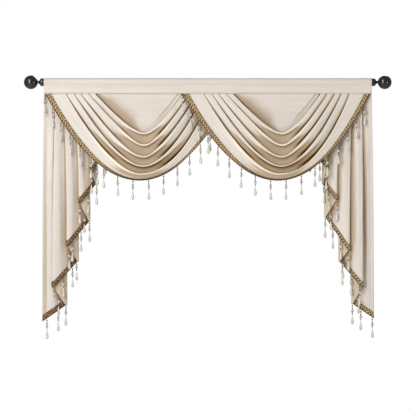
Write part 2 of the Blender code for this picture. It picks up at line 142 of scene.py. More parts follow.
# Painted shade, warmer and darker (above 0), and painted highlight (below 0), on satin in the open
# (0): steps of a pleat from its rim at the swag's middle and sides, and the tones there. A hollow
# opens from a crease at the sides to its full height in the middle.
FOLD_PAINTED_SHADING = (
    (0, 0, -0.05, -0.04),  # rim
    (1.05, 0.80, -0.05, 0),
    (1.45, 3.30, 0.08, 0.02),
    (2.00, 4.10, 0.10, 0.10),
    (5.90, 5.90, 0.07, 0.10),
    (6.40, 6.50, 0.04, 0.05),
    (6.65, 6.75, -0.03, -0.02),
    (7.00, 7.00, -0.05, -0.04),  # the next rim
)
LAST_PAINTED_SHADING = (
    (0, 0, -0.20, -0.04),  # rim
    (0.95, 0.80, -0.16, 0),
    (1.30, 3.00, 0.09, 0),
    (4.00, 4.00, 0.12, 0.01),
    (6.00, 6.00, 0.40, 0.05),  # hem
)
HOLLOW_ENDS = (0.12, 0.74)  # of the way to the seam, where the hollows start to close and end
# How much of its added painted shade a hollow shows on the left (-1) and right (1), by the way to
# the seam and by steps of the pleat, and under the rim in the middle by steps of the pleat.
CREASE_ALONG = {
    -1: ((0.26, 0.0), (0.42, 0.9), (0.50, 1.1), (0.65, 1.0), (1.0, 0.7)),
    1: ((0.15, 0.0), (0.32, 0.9), (0.44, 1.3), (0.65, 0.9), (1.0, 0.7)),
}
CREASE_ACROSS = {
    -1: ((3.0, 0.0), (4.0, 1.0), (6.3, 1.0), (6.8, 0.0)),
    1: ((2.1, 0.0), (2.9, 0.5), (3.5, 1.0), (6.3, 1.0), (6.8, 0.0)),
}
CREASE_UNDER = ((1.0, 0.0), (1.5, 1.0), (2.0, 0.8), (3.1, 0.0))
SEAM_REACH = 0.72  # of the way to the seam, from where the pleats are pressed flat
SEAM_DEPTH = {"front": -0.0133, "behind": -0.0074}  # y of a swag's end, behind if overlapped
LAP_RISE, LAP_FALL = 0.35, 0.55  # of half a swag, over which its lift comes and goes

SwagForm = namedtuple("SwagForm", "centre end_left end_right lift right_fullness seed")
SWAGS = {
    "left": SwagForm(-SWAG_CENTRE, "front", "behind", 0.0, 1.5, 3.0),
    "right": SwagForm(SWAG_CENTRE, "front", "front", 0.018, 1.0, 11.0),
}
SWAG_COLUMNS, SWAG_CROWDING = 160, 0.25  # the columns stand closer together towards the seams
SWAG_STEPS = 5  # rows of the fine cloth in each step of a pleat

# ------------ tails: pleat folds

# From the outer edge inwards: the way a fold turns, how far in it lies at the top and at the hem,
# how far down its hem is and how far forward it stands, from 0 at the back to 1.
TailFold = namedtuple("TailFold", "turn in_top in_hem drop forward")
TAIL_FOLDS = {
    "left": table(
        TailFold,
        (0, 0, -0.007, 1.043, 0.40), (1, 0.078, 0.107, 0.968, 0),
        (-1, 0.052, 0.040, 0.886, 1.00), (1, 0.128, 0.160, 0.768, 0),
        (-1, 0.088, 0.106, 0.699, 1.00), (1, 0.168, 0.213, 0.585, 0),
        (-1, 0.130, 0.161, 0.502, 1.00), (1, 0.202, 0.243, 0.415, 0.25),
        (-1, 0.172, 0.214, 0.365, 1.20), (0, 0.226, 0.300, 0.250, 1.20),
    ),
    "right": table(
        TailFold,
        (0, 0, -0.010, 1.029, 0.40), (1, 0.078, 0.093, 0.962, 0),
        (-1, 0.044, 0.041, 0.886, 1.00), (1, 0.128, 0.153, 0.768, 0),
        (-1, 0.088, 0.102, 0.717, 1.00), (1, 0.168, 0.218, 0.566, 0),
        (-1, 0.130, 0.158, 0.488, 1.00), (1, 0.202, 0.228, 0.415, 0.35),
        (-1, 0.172, 0.203, 0.342, 1.35), (0, 0.226, 0.296, 0.250, 1.35),
    ),
}
FORWARD_AT_SEAM = {-1: 1.0, 0: 0.7, 1: 0.0}  # by which way the fold turns
TAIL_FRONT, TAIL_BACK = (-0.0072, -0.0400), (0.0012, 0.0024)  # y at the seam, and opened
TAIL_LOOP = (0.0022, 0.0105)  # how wide a fold is front to back, at the seam and opened
TAIL_OPEN, LOOP_OPEN = 0.70, 0.55  # how far down the folds have opened
TAIL_SWELL = 0.004  # how far the cloth from fold to fold bows forward
TAIL_PANEL = (0.34, 0.67)  # shares of the way from fold to fold that have points too
TAIL_SEEDS = {"left": 5.0, "right": 8.0}
TAIL_STEPS = 6  # columns of the fine cloth in each step of the zigzag
TAIL_ROWS, TAIL_BRAID_ROWS = 72, 8  # above the braid, and behind it
# Painted shade across the zigzag of a tail, taken off where it is below 0: place, shade near the
# seam, shade near the hem. The places are steps of the zigzag from the tail's outer edge inwards,
# 10 to a pleat.
TAIL_PAINTED_SHADING = {
    "left": (
        (0, 0.08, 0.10), (0.45, 0.08, 0.13), (0.65, 0.03, 0.05), (0.80, 0, 0),
        (1.30, 0, 0.01), (1.55, 0.05, 0.06), (9.90, 0, 0), (10.30, 0, 0),
        (10.70, 0.05, 0.07), (11.00, 0.07, 0.10), (11.70, 0.08, 0.13), (19.90, 0, 0),
        (20.35, 0, 0.01), (20.65, 0.05, 0.10), (21.60, 0.06, 0.15), (29.90, 0, 0),
        (30.40, 0.01, 0.03), (30.80, 0.07, 0.12), (33.00, 0.10, 0.16), (39.90, 0, 0),
        (41.00, 0.05, 0.10),
    ),
    "right": (
        (0, 0.05, 0.05), (0.15, 0.01, 0.02), (0.60, 0.02, 0.03), (1.00, 0.05, -0.03),
        (1.30, 0.05, -0.10), (1.70, 0, -0.26), (9.90, 0, 0), (10.15, 0, 0),
        (10.35, 0.06, 0.06), (10.60, 0.01, 0.02), (11.00, 0.02, 0.04), (11.30, 0.09, 0.05),
        (11.60, 0.30, 0.04), (19.90, 0, 0), (20.15, 0, 0), (20.35, 0.06, 0.05),
        (20.60, 0, 0.01), (21.20, 0.03, 0.04), (21.45, 0.08, 0.05), (21.70, 0.14, 0.05),
        (29.90, 0, 0), (30.20, 0, 0), (30.40, 0.05, 0.05), (30.70, 0, 0.02),
        (31.50, 0.08, 0.08), (39.90, 0, 0), (41.00, 0.03, 0.05),
    ),
}
TAIL_EXTRA_SHADE = {"left": 0, "right": 0.035}  # painted shade added to all the tones of a tail

# ------------ facing and heading: form

FACING_MARGIN = 0.004
FACING_Y = (-0.0122, 0.0038)
# Where the facing bends back, as shares of the V's half width, at the seam and lower down.
FACING_BEND = ((0.95, 1.00), (0.74, 0.86))
FACING_BEND_DROP = 0.075
FACING_DROP = (0.177, 0.035)  # from the seam to its lower edge, and how far that edge waves
FACING_COLUMNS, FACING_STEPS = 450, 54

# The painted shadow that a swag's top fold casts on the facing: place along the fold from -1 to 1,
# a dark line and its distance from the fold, a soft warm shadow and the reach over which it fades.
FACING_SHADES = (
    (-1.00, 0.95, 0, 0.14, 0.020), (-0.78, 0.86, 0, 0.18, 0.060),
    (-0.50, 0.52, 0, 0.18, 0.070), (-0.36, 0.22, 0, 0.17, 0.070),
    (-0.20, 0.04, 0, 0.12, 0.045), (-0.04, 0, 0, 0.035, 0.018),
    (0.20, 0.03, 0.014, 0.01, 0.015), (0.45, 0.10, 0.023, 0.02, 0.020),
    (1.00, 0.11, 0.018, 0.02, 0.020),
)
SHADE_LINE, SHADE_PLACES = 0.006, 61  # how wide the line is, and places on each half of the fold

HEADING_COLUMNS = 300
HEADING_FRONT = ((1.02, -0.036), (1.08, -0.018))  # share of the lap's y, and z, above the seam
HEADING_TURNS = 12  # pieces round the rod
HEADING_BACK = (0.5, 0.85)  # shares of the way down to the pocket's floor
FLOOR_TURNS = (-0.0012, 0.0016)  # how far past its back and short of its front the floor runs
# The slack of its front: how deep, how many waves to a metre, from which z and over what height.
HEADING_SLACK, HEADING_WAVES, SLACK_FROM, SLACK_OVER = 0.0009, 14, -0.012, 0.03
FRONT_Y = 0.9 * LAP_Y  # only cloth in front of this has slack

# ------------ colours

# CREAM is the satin's own colour; the colours round it are its painted highlight and painted shade.
CREST_HIGHLIGHT = (0.960, 0.850, 0.680)  # painted highlight on the satin along the folds' rims
CREAM = (0.765, 0.692, 0.622)  # in the open
TAN_SHADE = (0.500, 0.385, 0.262)  # painted shade between the folds
HAZEL_SHADE = (0.440, 0.310, 0.180)
UMBER_SHADE = (0.295, 0.165, 0.062)  # painted shade deep in a fold
DEEPEST_SHADE = (0.120, 0.053, 0.016)
REVERSE = (0.660, 0.560, 0.420)  # the dull side of the satin
THREAD_COLOUR = (0.60, 0.53, 0.45)
GOLD_YARN = (0.76, 0.53, 0.22)
PALE_YARN = (0.90, 0.72, 0.42)
BRONZE_YARN = (0.36, 0.20, 0.085)
DULL_YARN = (0.60, 0.41, 0.20)
BROWN_YARN = (0.10, 0.048, 0.020)
DARK_YARN = (0.16, 0.084, 0.036)
BRONZE = (0.32, 0.23, 0.14)
CRYSTAL = (0.93, 0.91, 0.87)
PEARL = (0.88, 0.85, 0.80)
BLACK = (0.010, 0.010, 0.011)
WHITE_FLOOR = (0.86, 0.86, 0.85)

# ------------ small helpers


def mix(a, b, share):
    return a + (b - a) * share


def read(points, place):
    """What a row of (place, value) points says at places between them."""
    return np.interp(place, *zip(*points))


def smooth(share):
    share = np.clip(share, 0.0, 1.0)
    return share * share * (3 - 2 * share)


def mesh_of(name, bm):
    mesh = bpy.data.meshes.new(name)
    bm.to_mesh(mesh)
    bm.free()
    return mesh


def add_mesh(bm, mesh):
    bm.from_mesh(mesh)
    bpy.data.meshes.remove(mesh)


def sealed(bm):
    """Joins points that meet, closes open ends and turns every face outwards."""
    bmesh.ops.remove_doubles(bm, verts=bm.verts, dist=1e-7)
    bmesh.ops.holes_fill(bm, edges=[edge for edge in bm.edges if edge.is_boundary])
    bmesh.ops.recalc_face_normals(bm, faces=bm.faces)
    return bm


def turned(points, axis, sides):
    """A closed shape turned round an axis through the origin, from points beside the axis."""
    bm = bmesh.new()
    rim = [bm.verts.new(point) for point in points]
    edges = [bm.edges.new(pair) for pair in zip(rim, rim[1:])]
    bmesh.ops.spin(bm, geom=rim + edges, axis=axis, angle=math.tau, steps=sides, use_merge=True)
    return sealed(bm)


def shaded_smooth(bm, chosen=lambda face: True):
    for face in bm.faces:
        face.smooth = chosen(face)
    return bm


def placed(name, data):
    made = bpy.data.objects.new(name, data)
    bpy.context.scene.collection.objects.link(made)
    return made


def put(name, mesh, finishes, nodes):
    """Adds a finished piece, which rides on the one body and stands for nodes of the solids."""
    piece = placed(name, mesh)
    for finish in finishes:
        mesh.materials.append(finish)
    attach(piece, "root")
    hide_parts(*nodes)
    return piece


def set_values(mesh, label, values):
    mesh.attributes.new(label, "FLOAT", "POINT").data.foreach_set("value", values.reshape(-1))


def smooth_curve(keys, steps):
    """Points of a smooth curve through rows of key points, with steps pieces from key to key."""
    padded = np.concatenate([2 * keys[:1] - keys[1:2], keys, 2 * keys[-1:] - keys[-2:-1]])
    gaps = np.linalg.norm(np.diff(padded, axis=0), axis=-1, keepdims=True) ** 0.5 + 1e-4
    made = []
    for i in range(len(keys) - 1):
        p0, p1, p2, p3 = padded[i : i + 4]
        before, here, after = gaps[i : i + 3]
        leave = (p1 - p0) / before - (p2 - p0) / (before + here) + (p2 - p1) / here
        arrive = (p2 - p1) / here - (p3 - p1) / (here + after) + (p3 - p2) / after
        for t in (step / steps for step in range(steps)):
            made.append(
                (2 * t**3 - 3 * t**2 + 1) * p1
                + (t**3 - 2 * t**2 + t) * here * leave
                + (3 * t**2 - 2 * t**3) * p2
                + (t**3 - t**2) * here * arrive
            )
    return np.array([*made, keys[-1]])


def normals_of(rows):
    """Unit normals of a grid of points, on the side that its faces look to."""
    normals = np.cross(np.gradient(rows, axis=1), np.gradient(rows, axis=0))
    return normals / np.maximum(np.linalg.norm(normals, axis=-1, keepdims=True), 1e-12)


def run_of(points, axis):
    """Metres run from point to point along one axis of a grid."""
    spans = np.linalg.norm(np.diff(points, axis=axis), axis=-1)
    start = np.zeros_like(np.take(spans, [0], axis=axis))
    return np.concatenate([start, np.cumsum(spans, axis=axis)], axis=axis)


def grid_mesh(name, rows, upright=False):
    """A grid of faces through rows of points, with its UV map in metres.

    U runs along the rows, or down the columns where the cloth's threads run upright.
    """
    bm = bmesh.new()
    down, across = rows.shape[:2]
    bmesh.ops.create_grid(bm, x_segments=across - 1, y_segments=down - 1, size=1.0)
    mesh = mesh_of(name, bm)
    mesh.vertices.foreach_set("co", rows.reshape(-1))
    corners = np.empty(len(mesh.loops), dtype=np.int32)
    mesh.loops.foreach_get("vertex_index", corners)
    along = run_of(rows, 1)
    places = np.stack([along - along.mean(axis=1, keepdims=True), run_of(rows, 0)], axis=-1)
    places = places[..., ::-1] if upright else places
    uv = mesh.uv_layers.new(name="cloth")
    uv.data.foreach_set("uv", places.reshape(-1, 2)[corners].reshape(-1))
    mesh.shade_smooth()
    return mesh


# ------------ creases and slack

# Soft troughs pressed into a cloth, or ridges where their depth is negative: start and end along
# the folds, place at the start and at the end in steps of the folds' form, width, depth.
CREASE_FADE = 0.3

# Along a swag from -1 at the left to 1 at the right. Fold 0 begins at place 2, each has 7 steps.
SWAG_CREASES = {
    "left": (
        (-0.96, -0.30, 4.1, 4.4, 0.55, 0.0016), (-0.90, -0.42, 10.6, 11.3, 0.50, 0.0020),
        (0.35, 0.93, 10.9, 10.4, 0.50, 0.0017), (-0.82, -0.20, 18.0, 18.5, 0.45, 0.0018),
        (0.30, 0.88, 17.6, 18.2, 0.55, 0.0020), (-0.95, -0.36, 24.7, 25.3, 0.45, 0.0022),
        (0.42, 0.95, 25.2, 24.9, 0.45, 0.0016), (-0.95, -0.15, 31.4, 31.7, 0.40, 0.0024),
        (-0.80, 0.05, 32.7, 32.5, 0.45, 0.0018), (0.10, 0.90, 31.6, 31.2, 0.45, 0.0020),
        (0.25, 0.80, 32.6, 32.8, 0.40, 0.0016), (-0.45, 0.20, 6.3, 6.0, 0.50, 0.0012),
        (-0.10, 0.45, 12.7, 13.0, 0.55, 0.0012), (-0.40, 0.10, 20.1, 19.8, 0.50, 0.0012),
    ),
    "right": (
        (-0.92, -0.34, 4.3, 4.0, 0.50, 0.0018), (0.32, 0.95, 4.1, 4.4, 0.55, 0.0014),
        (-0.96, -0.28, 11.2, 10.6, 0.45, 0.0019), (0.40, 0.92, 10.7, 11.1, 0.50, 0.0018),
        (-0.90, -0.34, 17.7, 18.3, 0.45, 0.0022), (0.28, 0.86, 18.2, 17.8, 0.50, 0.0018),
        (-0.88, -0.30, 25.0, 24.7, 0.50, 0.0018), (0.36, 0.94, 24.8, 25.2, 0.45, 0.0022),
        (-0.95, -0.05, 31.5, 31.9, 0.40, 0.0026), (-0.90, -0.20, 32.5, 32.8, 0.40, 0.0022),
        (0.10, 0.95, 31.7, 31.4, 0.45, 0.0022), (0.35, 0.85, 32.8, 32.6, 0.40, 0.0016),
        (-0.20, 0.40, 6.1, 6.4, 0.50, 0.0012), (-0.35, 0.25, 13.0, 12.6, 0.55, 0.0012),
        (-0.15, 0.40, 19.8, 20.2, 0.50, 0.0012),
    ),
}
# Down a tail from 0 at the seam to 1 at the hem.
TAIL_CREASES = {
    "left": (
        (0.02, 0.97, 0.60, 0.55, 0.30, 0.0040), (0.06, 0.99, 1.30, 1.25, 0.26, -0.0020),
        (0.10, 0.90, 2.10, 2.00, 0.22, 0.0012), (0.12, 0.95, 10.55, 10.70, 0.24, -0.0024),
        (0.10, 0.97, 11.1, 11.3, 0.26, 0.0032), (0.30, 0.98, 12.2, 12.0, 0.22, 0.0015),
        (0.12, 0.96, 20.7, 20.6, 0.24, -0.0022), (0.15, 0.96, 21.3, 21.2, 0.26, 0.0030),
        (0.10, 0.92, 31.0, 31.2, 0.30, 0.0032), (0.20, 0.90, 32.0, 31.9, 0.26, -0.0018),
    ),
    "right": (
        (0.03, 0.98, 0.30, 0.42, 0.24, 0.0032), (0.08, 0.95, 0.80, 0.88, 0.22, -0.0022),
        (0.15, 0.95, 1.25, 1.20, 0.22, 0.0024), (0.05, 0.85, 1.75, 1.95, 0.25, 0.0016),
        (0.14, 0.94, 10.60, 10.50, 0.24, -0.0022), (0.10, 0.96, 11.2, 11.0, 0.26, 0.0030),
        (0.35, 0.98, 12.0, 12.3, 0.22, 0.0014), (0.15, 0.95, 20.6, 20.8, 0.24, -0.0020),
        (0.12, 0.97, 21.1, 21.4, 0.26, 0.0030), (0.20, 0.95, 31.2, 31.0, 0.30, 0.0030),
    ),
}
SLACK_SIZE, SLACK = 0.11, 0.0016  # how wide and how deep the cloth's own unevenness is
SLACK_FADE = {"swag": (0.35, 2), "tail": (0.3, 0.25)}  # it fades to the seams and to the hem


def pressed(rows, outward, along, place, creases):
    """A grid of points with creases pressed in. along and place give each point's place."""
    push = np.zeros(rows.shape[:2])
    for start, end, from_place, to_place, width, depth in creases:
        share = (along - start) / (end - start)
        line = mix(from_place, to_place, np.clip(share, 0, 1))
        across = np.exp(-(((place - line) / width) ** 2))
        faded = smooth(share / CREASE_FADE) * smooth((1 - share) / CREASE_FADE)
        push = push + depth * across * faded
    return rows - normals_of(rows) * (outward * push)[..., None]


def slackened(rows, outward, seed, hold):
    """A grid of points with slow unevenness, by as much as hold, from 0 to 1, lets it."""
    places = rows.reshape(-1, 3) / SLACK_SIZE + (0.0, 0.0, seed)
    swing = np.array([noise.noise(Vector(place)) for place in places]).reshape(rows.shape[:2])
    return rows + normals_of(rows) * (outward * SLACK * swing * hold)[..., None]


# ------------ swags


def bowl(along, power):
    low = ROUND_BOTTOM**power
    height = (along * along + ROUND_BOTTOM**2) ** (power / 2)
    return (height - low) / ((1 + ROUND_BOTTOM**2) ** (power / 2) - low)


def fold_line(line, along):
    """x from the swag's centre and z of a fold line, at places along it from -1 to 1."""
    power = np.where(along < 0, line.power_left, line.power_right)
    x = line.half_width * along + line.low_x * (1 - along * along)
    return x, SEAM_Z - line.drop * (1 - bowl(along, power))


def forward_of(form, line, along):
    end = np.where(along < 0, SEAM_DEPTH[form.end_left], SEAM_DEPTH[form.end_right])
    power = np.where(along > 0, form.right_fullness, 1.0)
    y = mix(end, -line.forward, (1 - along * along) ** power)
    push = form.lift * smooth((1 + along) / LAP_RISE) * smooth(-along / LAP_FALL)
    return y - np.where(along < 0, push, 0.0)


def swag_key_row(form, fold, key, along):
    """Points of one step of a pleat, all along the swag."""
    line, after, hollow = FOLD_LINES[fold], FOLD_LINES[fold + 1], HOLLOWS[fold]
    middle = smooth(1 - abs(along) / np.where(along < 0, hollow.reach_left, hollow.reach_right))
    seam = smooth((abs(along) - SEAM_REACH) / (1 - SEAM_REACH))
    reach = mix(key.reach_side, key.reach_middle, middle)
    back = mix(key.back_side * hollow.depth_side, key.back_middle * hollow.depth_middle, middle)
    back = mix(back, key.back_seam, seam)
    (x0, z0), (x1, z1) = fold_line(line, along), fold_line(after, along)
    front, front_after = forward_of(form, line, along), forward_of(form, after, along)
    y = mix(front, front_after, np.minimum(reach, 1.0)) + back
    return np.stack([form.centre + mix(x0, x1, reach), y, mix(z0, z1, reach)], axis=-1)


def swag_keys():
    rows = [(0, key) for key in TOP_HEM]
    last = len(FOLD_LINES) - 2
    for fold in range(last + 1):
        rows += [(fold, key) for key in (LAST_PLEAT if fold == last else PLEAT)]
    return rows


def swag_columns():
    even = np.linspace(-1, 1, SWAG_COLUMNS + 1)
    return even * (1 + SWAG_CROWDING * (1 - even * even))


def swag_rows(side):
    """The fine grid of a swag, with its sewn-in ends behind the heading's edge."""
    form, along = SWAGS[side], swag_columns()
    keys = np.array([swag_key_row(form, fold, key, along) for fold, key in swag_keys()])
    rows = smooth_curve(keys, SWAG_STEPS)
    place = (np.arange(len(rows)) / SWAG_STEPS)[:, None]
    to_seam, to_hem = SLACK_FADE["swag"]
    hold = smooth((1 - abs(along)) / to_seam) * smooth((len(keys) - 3 - place) / to_hem)
    rows = slackened(rows, -1, form.seed, hold)
    rows = pressed(rows, -1, along, place, SWAG_CREASES[side])
    ends = rows[:, [0, -1]]
    ends[:, :, 2] = TOPS_Z
    return np.concatenate([ends[:, :1], rows, ends[:, 1:]], axis=1)


def tone_column(tones, place, opened):
    """Painted shade and highlight at places across a fold, where it has opened by a share."""
    shown = [(mix(side, mid, opened), mix(low, high, opened)) for mid, side, high, low in tones]
    return read(shown, place)


def swag_painted_shading():
    """The painted shade and highlight of the satin at each point of a swag's grid."""
    count, last = len(swag_keys()) - 1, len(FOLD_LINES) - 2
    place = np.linspace(0, count, count * SWAG_STEPS + 1) - len(TOP_HEM)
    fold = np.clip(place // len(PLEAT), 0, last).astype(int)
    step = place % len(PLEAT)
    depth, left, right, under = np.array([hollow[4:] for hollow in HOLLOWS])[fold].T
    under = under * read(CREASE_UNDER, step)
    deep = {-1: left * read(CREASE_ACROSS[-1], step), 1: right * read(CREASE_ACROSS[1], step)}
    open_to, shut_from = HOLLOW_ENDS
    columns = []
    for along in np.pad(swag_columns(), 1, mode="edge"):
        middle = smooth((shut_from - abs(along)) / (shut_from - open_to))
        inner = tone_column(FOLD_PAINTED_SHADING, step, middle)
        outer = tone_column(LAST_PAINTED_SHADING, place - last * len(PLEAT), middle)
        way = -1 if along < 0 else 1
        crease = deep[way] * read(CREASE_ALONG[way], abs(along)) + under * middle
        columns.append(np.where(fold < last, inner * depth + crease, outer))
    return np.array(columns).T


# ------------ tails


def tail_place(fold, drop):
    lean = min(drop / fold.drop, 1.0)
    return mix(fold.in_top, fold.in_hem, 1 - (1 - lean) ** 2)


def tail_path(side):
    """The steps of a tail's zigzag, as (fold, next fold, share of the way)."""
    folds = TAIL_FOLDS[side]
    steps = [(folds[0], folds[0], 0.0)]
    for here, after in zip(folds, folds[1:]):
        shares = ([0.0] if here.turn else []) + [*TAIL_PANEL] + ([1.0] if after.turn else [])
        steps += [(here, after, share) for share in shares]
        steps.append((after, after, 0.0))
    return steps


def loop_at(drop):
    return mix(*TAIL_LOOP, smooth(drop / LOOP_OPEN))


def fold_depth(fold, layer, drop):
    opened = smooth(drop / TAIL_OPEN)
    forward = mix(FORWARD_AT_SEAM[fold.turn], fold.forward, opened)
    y = mix(mix(*TAIL_BACK, opened), mix(*TAIL_FRONT, opened), forward)
    before = 1.0 if fold.turn < 0 else 0.0
    return y + loop_at(drop) * (before - abs(fold.turn) * layer / 2)


def tail_point(side, step, drop):
    here, after, share = step
    inward = -1 if side == "right" else 1
    edge = -inward * DRAPE_WIDTH / 2
    start_x, end_x = tail_place(here, drop), tail_place(after, drop)
    if here is after:
        return (edge + inward * start_x, fold_depth(here, 1, drop), SEAM_Z - drop)
    half_loop = math.copysign(loop_at(drop) / 2, end_x - start_x)
    start_x += half_loop * abs(here.turn)
    end_x -= half_loop * abs(after.turn)
    swell = TAIL_SWELL * smooth(drop / LOOP_OPEN) * math.sin(math.pi * share)
    y = mix(fold_depth(here, 2, drop), fold_depth(after, 0, drop), share) - swell
    return (edge + inward * mix(start_x, end_x, share), y, SEAM_Z - drop)


def tail_rows(side):
    """The fine grid of a tail, from its sewn-in top down to its hem."""
    keys = []
    for step in tail_path(side):
        here, after, share = step
        length = mix(here.drop, after.drop, share)
        above = length - BRAID_WIDTH * BRAID_SLANT
        drops = [above * i / TAIL_ROWS for i in range(TAIL_ROWS + 1)]
        drops += [mix(above, length, (i + 1) / TAIL_BRAID_ROWS) for i in range(TAIL_BRAID_ROWS)]
        column = [tail_point(side, step, drop) for drop in drops]
        keys.append([(column[0][0], column[0][1], TOPS_Z), *column])
    rows = smooth_curve(np.array(keys), TAIL_STEPS).transpose(1, 0, 2)
    outward = OUTWARD[f"tail_{side}"]
    down = np.clip((np.arange(len(rows)) - 1) / (len(rows) - 2), 0, 1)[:, None]
    place = np.arange(rows.shape[1]) / TAIL_STEPS
    to_seam, to_hem = SLACK_FADE["tail"]
    hold = smooth(down / to_seam) * smooth((1 - down) / to_hem) * np.ones_like(place)
    rows = slackened(rows, outward, TAIL_SEEDS[side], hold)
    return pressed(rows, outward, down, place, TAIL_CREASES[side])


def tail_painted_shading(side, shape):
    """The painted shade of the satin at each point of a tail's grid."""
    places, tops, hems = zip(*TAIL_PAINTED_SHADING[side])
    place = np.arange(shape[1]) / TAIL_STEPS
    down = np.linspace(0, 1, shape[0])[:, None]
    tones = mix(np.interp(place, places, tops), np.interp(place, places, hems), down)
    return tones + TAIL_EXTRA_SHADE[side]


# ------------ facing and heading


def facing_rows():
    edge = DRAPE_WIDTH / 2 - FACING_MARGIN
    x = np.linspace(-edge, edge, FACING_COLUMNS + 1)
    from_centre = x - np.where(x < 0, -SWAG_CENTRE, SWAG_CENTRE)
    aside = abs(from_centre) / FOLD_LINES[0].half_width
    wave = np.cos(math.pi * from_centre / SWAG_CENTRE)
    foot = SEAM_Z - FACING_DROP[0] - FACING_DROP[1] * wave
    rows = []
    for share in np.linspace(0, 1, FACING_STEPS + 1):
        z = mix(TOPS_Z, foot, share)
        low = smooth((SEAM_Z - z) / FACING_BEND_DROP)
        start, end = (mix(*places, low) for places in zip(*FACING_BEND))
        y = mix(*FACING_Y, smooth((aside - start) / (end - start)))
        rows.append(np.stack([x, mix(y, FACING_Y[1], share), z], axis=-1))
    return np.array(rows)


def facing_painted_shadow(rows):
    """The painted shadow of the swags' top folds at each point of the facing's grid."""
    places, *shades = zip(*FACING_SHADES)
    from_centre = rows[..., 0] - np.where(rows[..., 0] < 0, -SWAG_CENTRE, SWAG_CENTRE)
    tones = np.zeros(rows.shape[:2])
    for branch in (-1, 1):
        along = branch * np.linspace(0, 1, SHADE_PLACES)
        x, z = fold_line(FOLD_LINES[0], along)
        gaps = np.hypot(from_centre[..., None] - x, rows[..., 2, None] - z)
        place, gap = along[gaps.argmin(axis=-1)], gaps.min(axis=-1)
        line, away, soft_shadow, reach = (np.interp(place, places, shade) for shade in shades)
        tones += line * np.exp(-(((gap - away) / SHADE_LINE) ** 2)) + soft_shadow * np.exp(-gap / reach)
    return tones


def tangent_angle(point, radius):
    """Where a line from a point meets a circle round the rod."""
    opening = math.acos(radius / math.hypot(*point))
    return math.atan2(point[1], point[0]) + math.copysign(opening, point[0])


def heading_path():
    """(y, z) along the heading's cloth: up its front, over the rod, down its back and forward."""
    start = tangent_angle((LAP_Y, SEAM_Z), POCKET_RADIUS) % math.tau
    end = tangent_angle(POCKET_FLOOR, POCKET_RADIUS) % math.tau
    end -= math.tau if end > start else 0.0
    corners = [(LAP_Y, SEAM_Z)] + [(LAP_Y * share, z) for share, z in HEADING_FRONT]
    for i in range(HEADING_TURNS + 1):
        turn = mix(start, end, i / HEADING_TURNS)
        corners.append((POCKET_RADIUS * math.cos(turn), POCKET_RADIUS * math.sin(turn)))
    back, (floor_y, floor_z) = np.array(corners[-1]), POCKET_FLOOR
    corners += [mix(back, np.array(POCKET_FLOOR), share) for share in HEADING_BACK]
    corners += [(floor_y + FLOOR_TURNS[0], floor_z), (LAP_Y + FLOOR_TURNS[1], floor_z)]
    return np.array([tuple(corner) for corner in corners])


def heading_rows():
    x = np.linspace(-DRAPE_WIDTH / 2, DRAPE_WIDTH / 2, HEADING_COLUMNS + 1)
    path = smooth_curve(heading_path(), 2)
    rows = np.empty((len(path), len(x), 3))
    rows[:, :, 0] = x
    rows[:, :, 1:] = path[:, None]
    slack = np.array([noise.noise(Vector((place * HEADING_WAVES, 3.1, 0))) for place in x])
    hold = smooth((SLACK_FROM - path[:, 1]) / SLACK_OVER) * (path[:, 0] < FRONT_Y)
    rows[:, :, 1] -= HEADING_SLACK * hold[:, None] * abs(slack)
    return rows


# ------------ cloth pieces

# Painted shade: rays from each point of a cloth find cloth near it, and the more they find, the
# darker and warmer the satin is painted there.
RECESS_REACH = 0.060  # cloth nearer than this shuts a point in
RECESS_RAYS = 30
RAY_START = 0.0018  # off the cloth
LIT_FROM = Vector((-0.75, -0.50, 0.43))  # cloth on this side shuts a point in more, so the painted shade falls as if lit from here
UNLIT_WEIGHT = 0.12  # of cloth on the other sides
UNDERSIDE_SHADE = 0.22  # painted shade added where cloth faces down


def spread_rays():
    """Directions round +Z, more of them near it, on an even spiral."""
    rays = []
    for i in range(RECESS_RAYS):
        out = math.sqrt((i + 0.5) / RECESS_RAYS)
        turn = i * math.pi * (3 - math.sqrt(5))
        rays.append((out * math.cos(turn), out * math.sin(turn), math.sqrt(1 - out * out)))
    return rays


def cloth_tree(grids):
    """Every cloth as one search tree, to cast rays at."""
    points, faces = [], []
    for rows in grids:
        down, across = rows.shape[:2]
        for j in range(down - 1):
            for i in range(across - 1):
                corner = len(points) + j * across + i
                faces.append((corner, corner + 1, corner + across + 1, corner + across))
        points += [Vector(point) for point in rows.reshape(-1, 3)]
    return BVHTree.FromPolygons(points, faces)


def blurred(values):
    """A grid of values with each one averaged with its neighbours."""
    for _ in range(2):
        padded = np.pad(values, ((1, 1), (0, 0)), mode="edge")
        values = ((padded[:-2] + 2 * values + padded[2:]) / 4).T
    return values


def occlusion_shade(rows, side, strides, tree):
    """How far each point of a grid is shut in by cloth, on one side of it, from 0 to 1, plus the
    shade where it faces down: the painted shade of its satin.
    """
    down, across = (np.arange(0, n, stride) for n, stride in zip(rows.shape, strides))
    normals = normals_of(rows) * side
    found = np.zeros((len(down), len(across)))
    rays = spread_rays()
    for a, j in enumerate(down):
        for b, i in enumerate(across):
            normal = Vector(normals[j, i])
            aside = normal.orthogonal().normalized()
            upward = normal.cross(aside)
            start = Vector(rows[j, i]) + normal * RAY_START
            whole = 0.0
            for x, y, z in rays:
                ray = aside * x + upward * y + normal * z
                weight = UNLIT_WEIGHT + max(0.0, ray.dot(LIT_FROM))
                hit = tree.ray_cast(start, ray, RECESS_REACH)[3]
                found[a, b] += 0.0 if hit is None else weight * (1 - hit / RECESS_REACH)
                whole += weight
            found[a, b] /= whole
    found = blurred(found)
    wide = np.array([np.interp(np.arange(rows.shape[1]), across, line) for line in found])
    full = np.array([np.interp(np.arange(rows.shape[0]), down, line) for line in wide.T]).T
    return full + UNDERSIDE_SHADE * np.clip(-normals[:, :, 2], 0, 1)


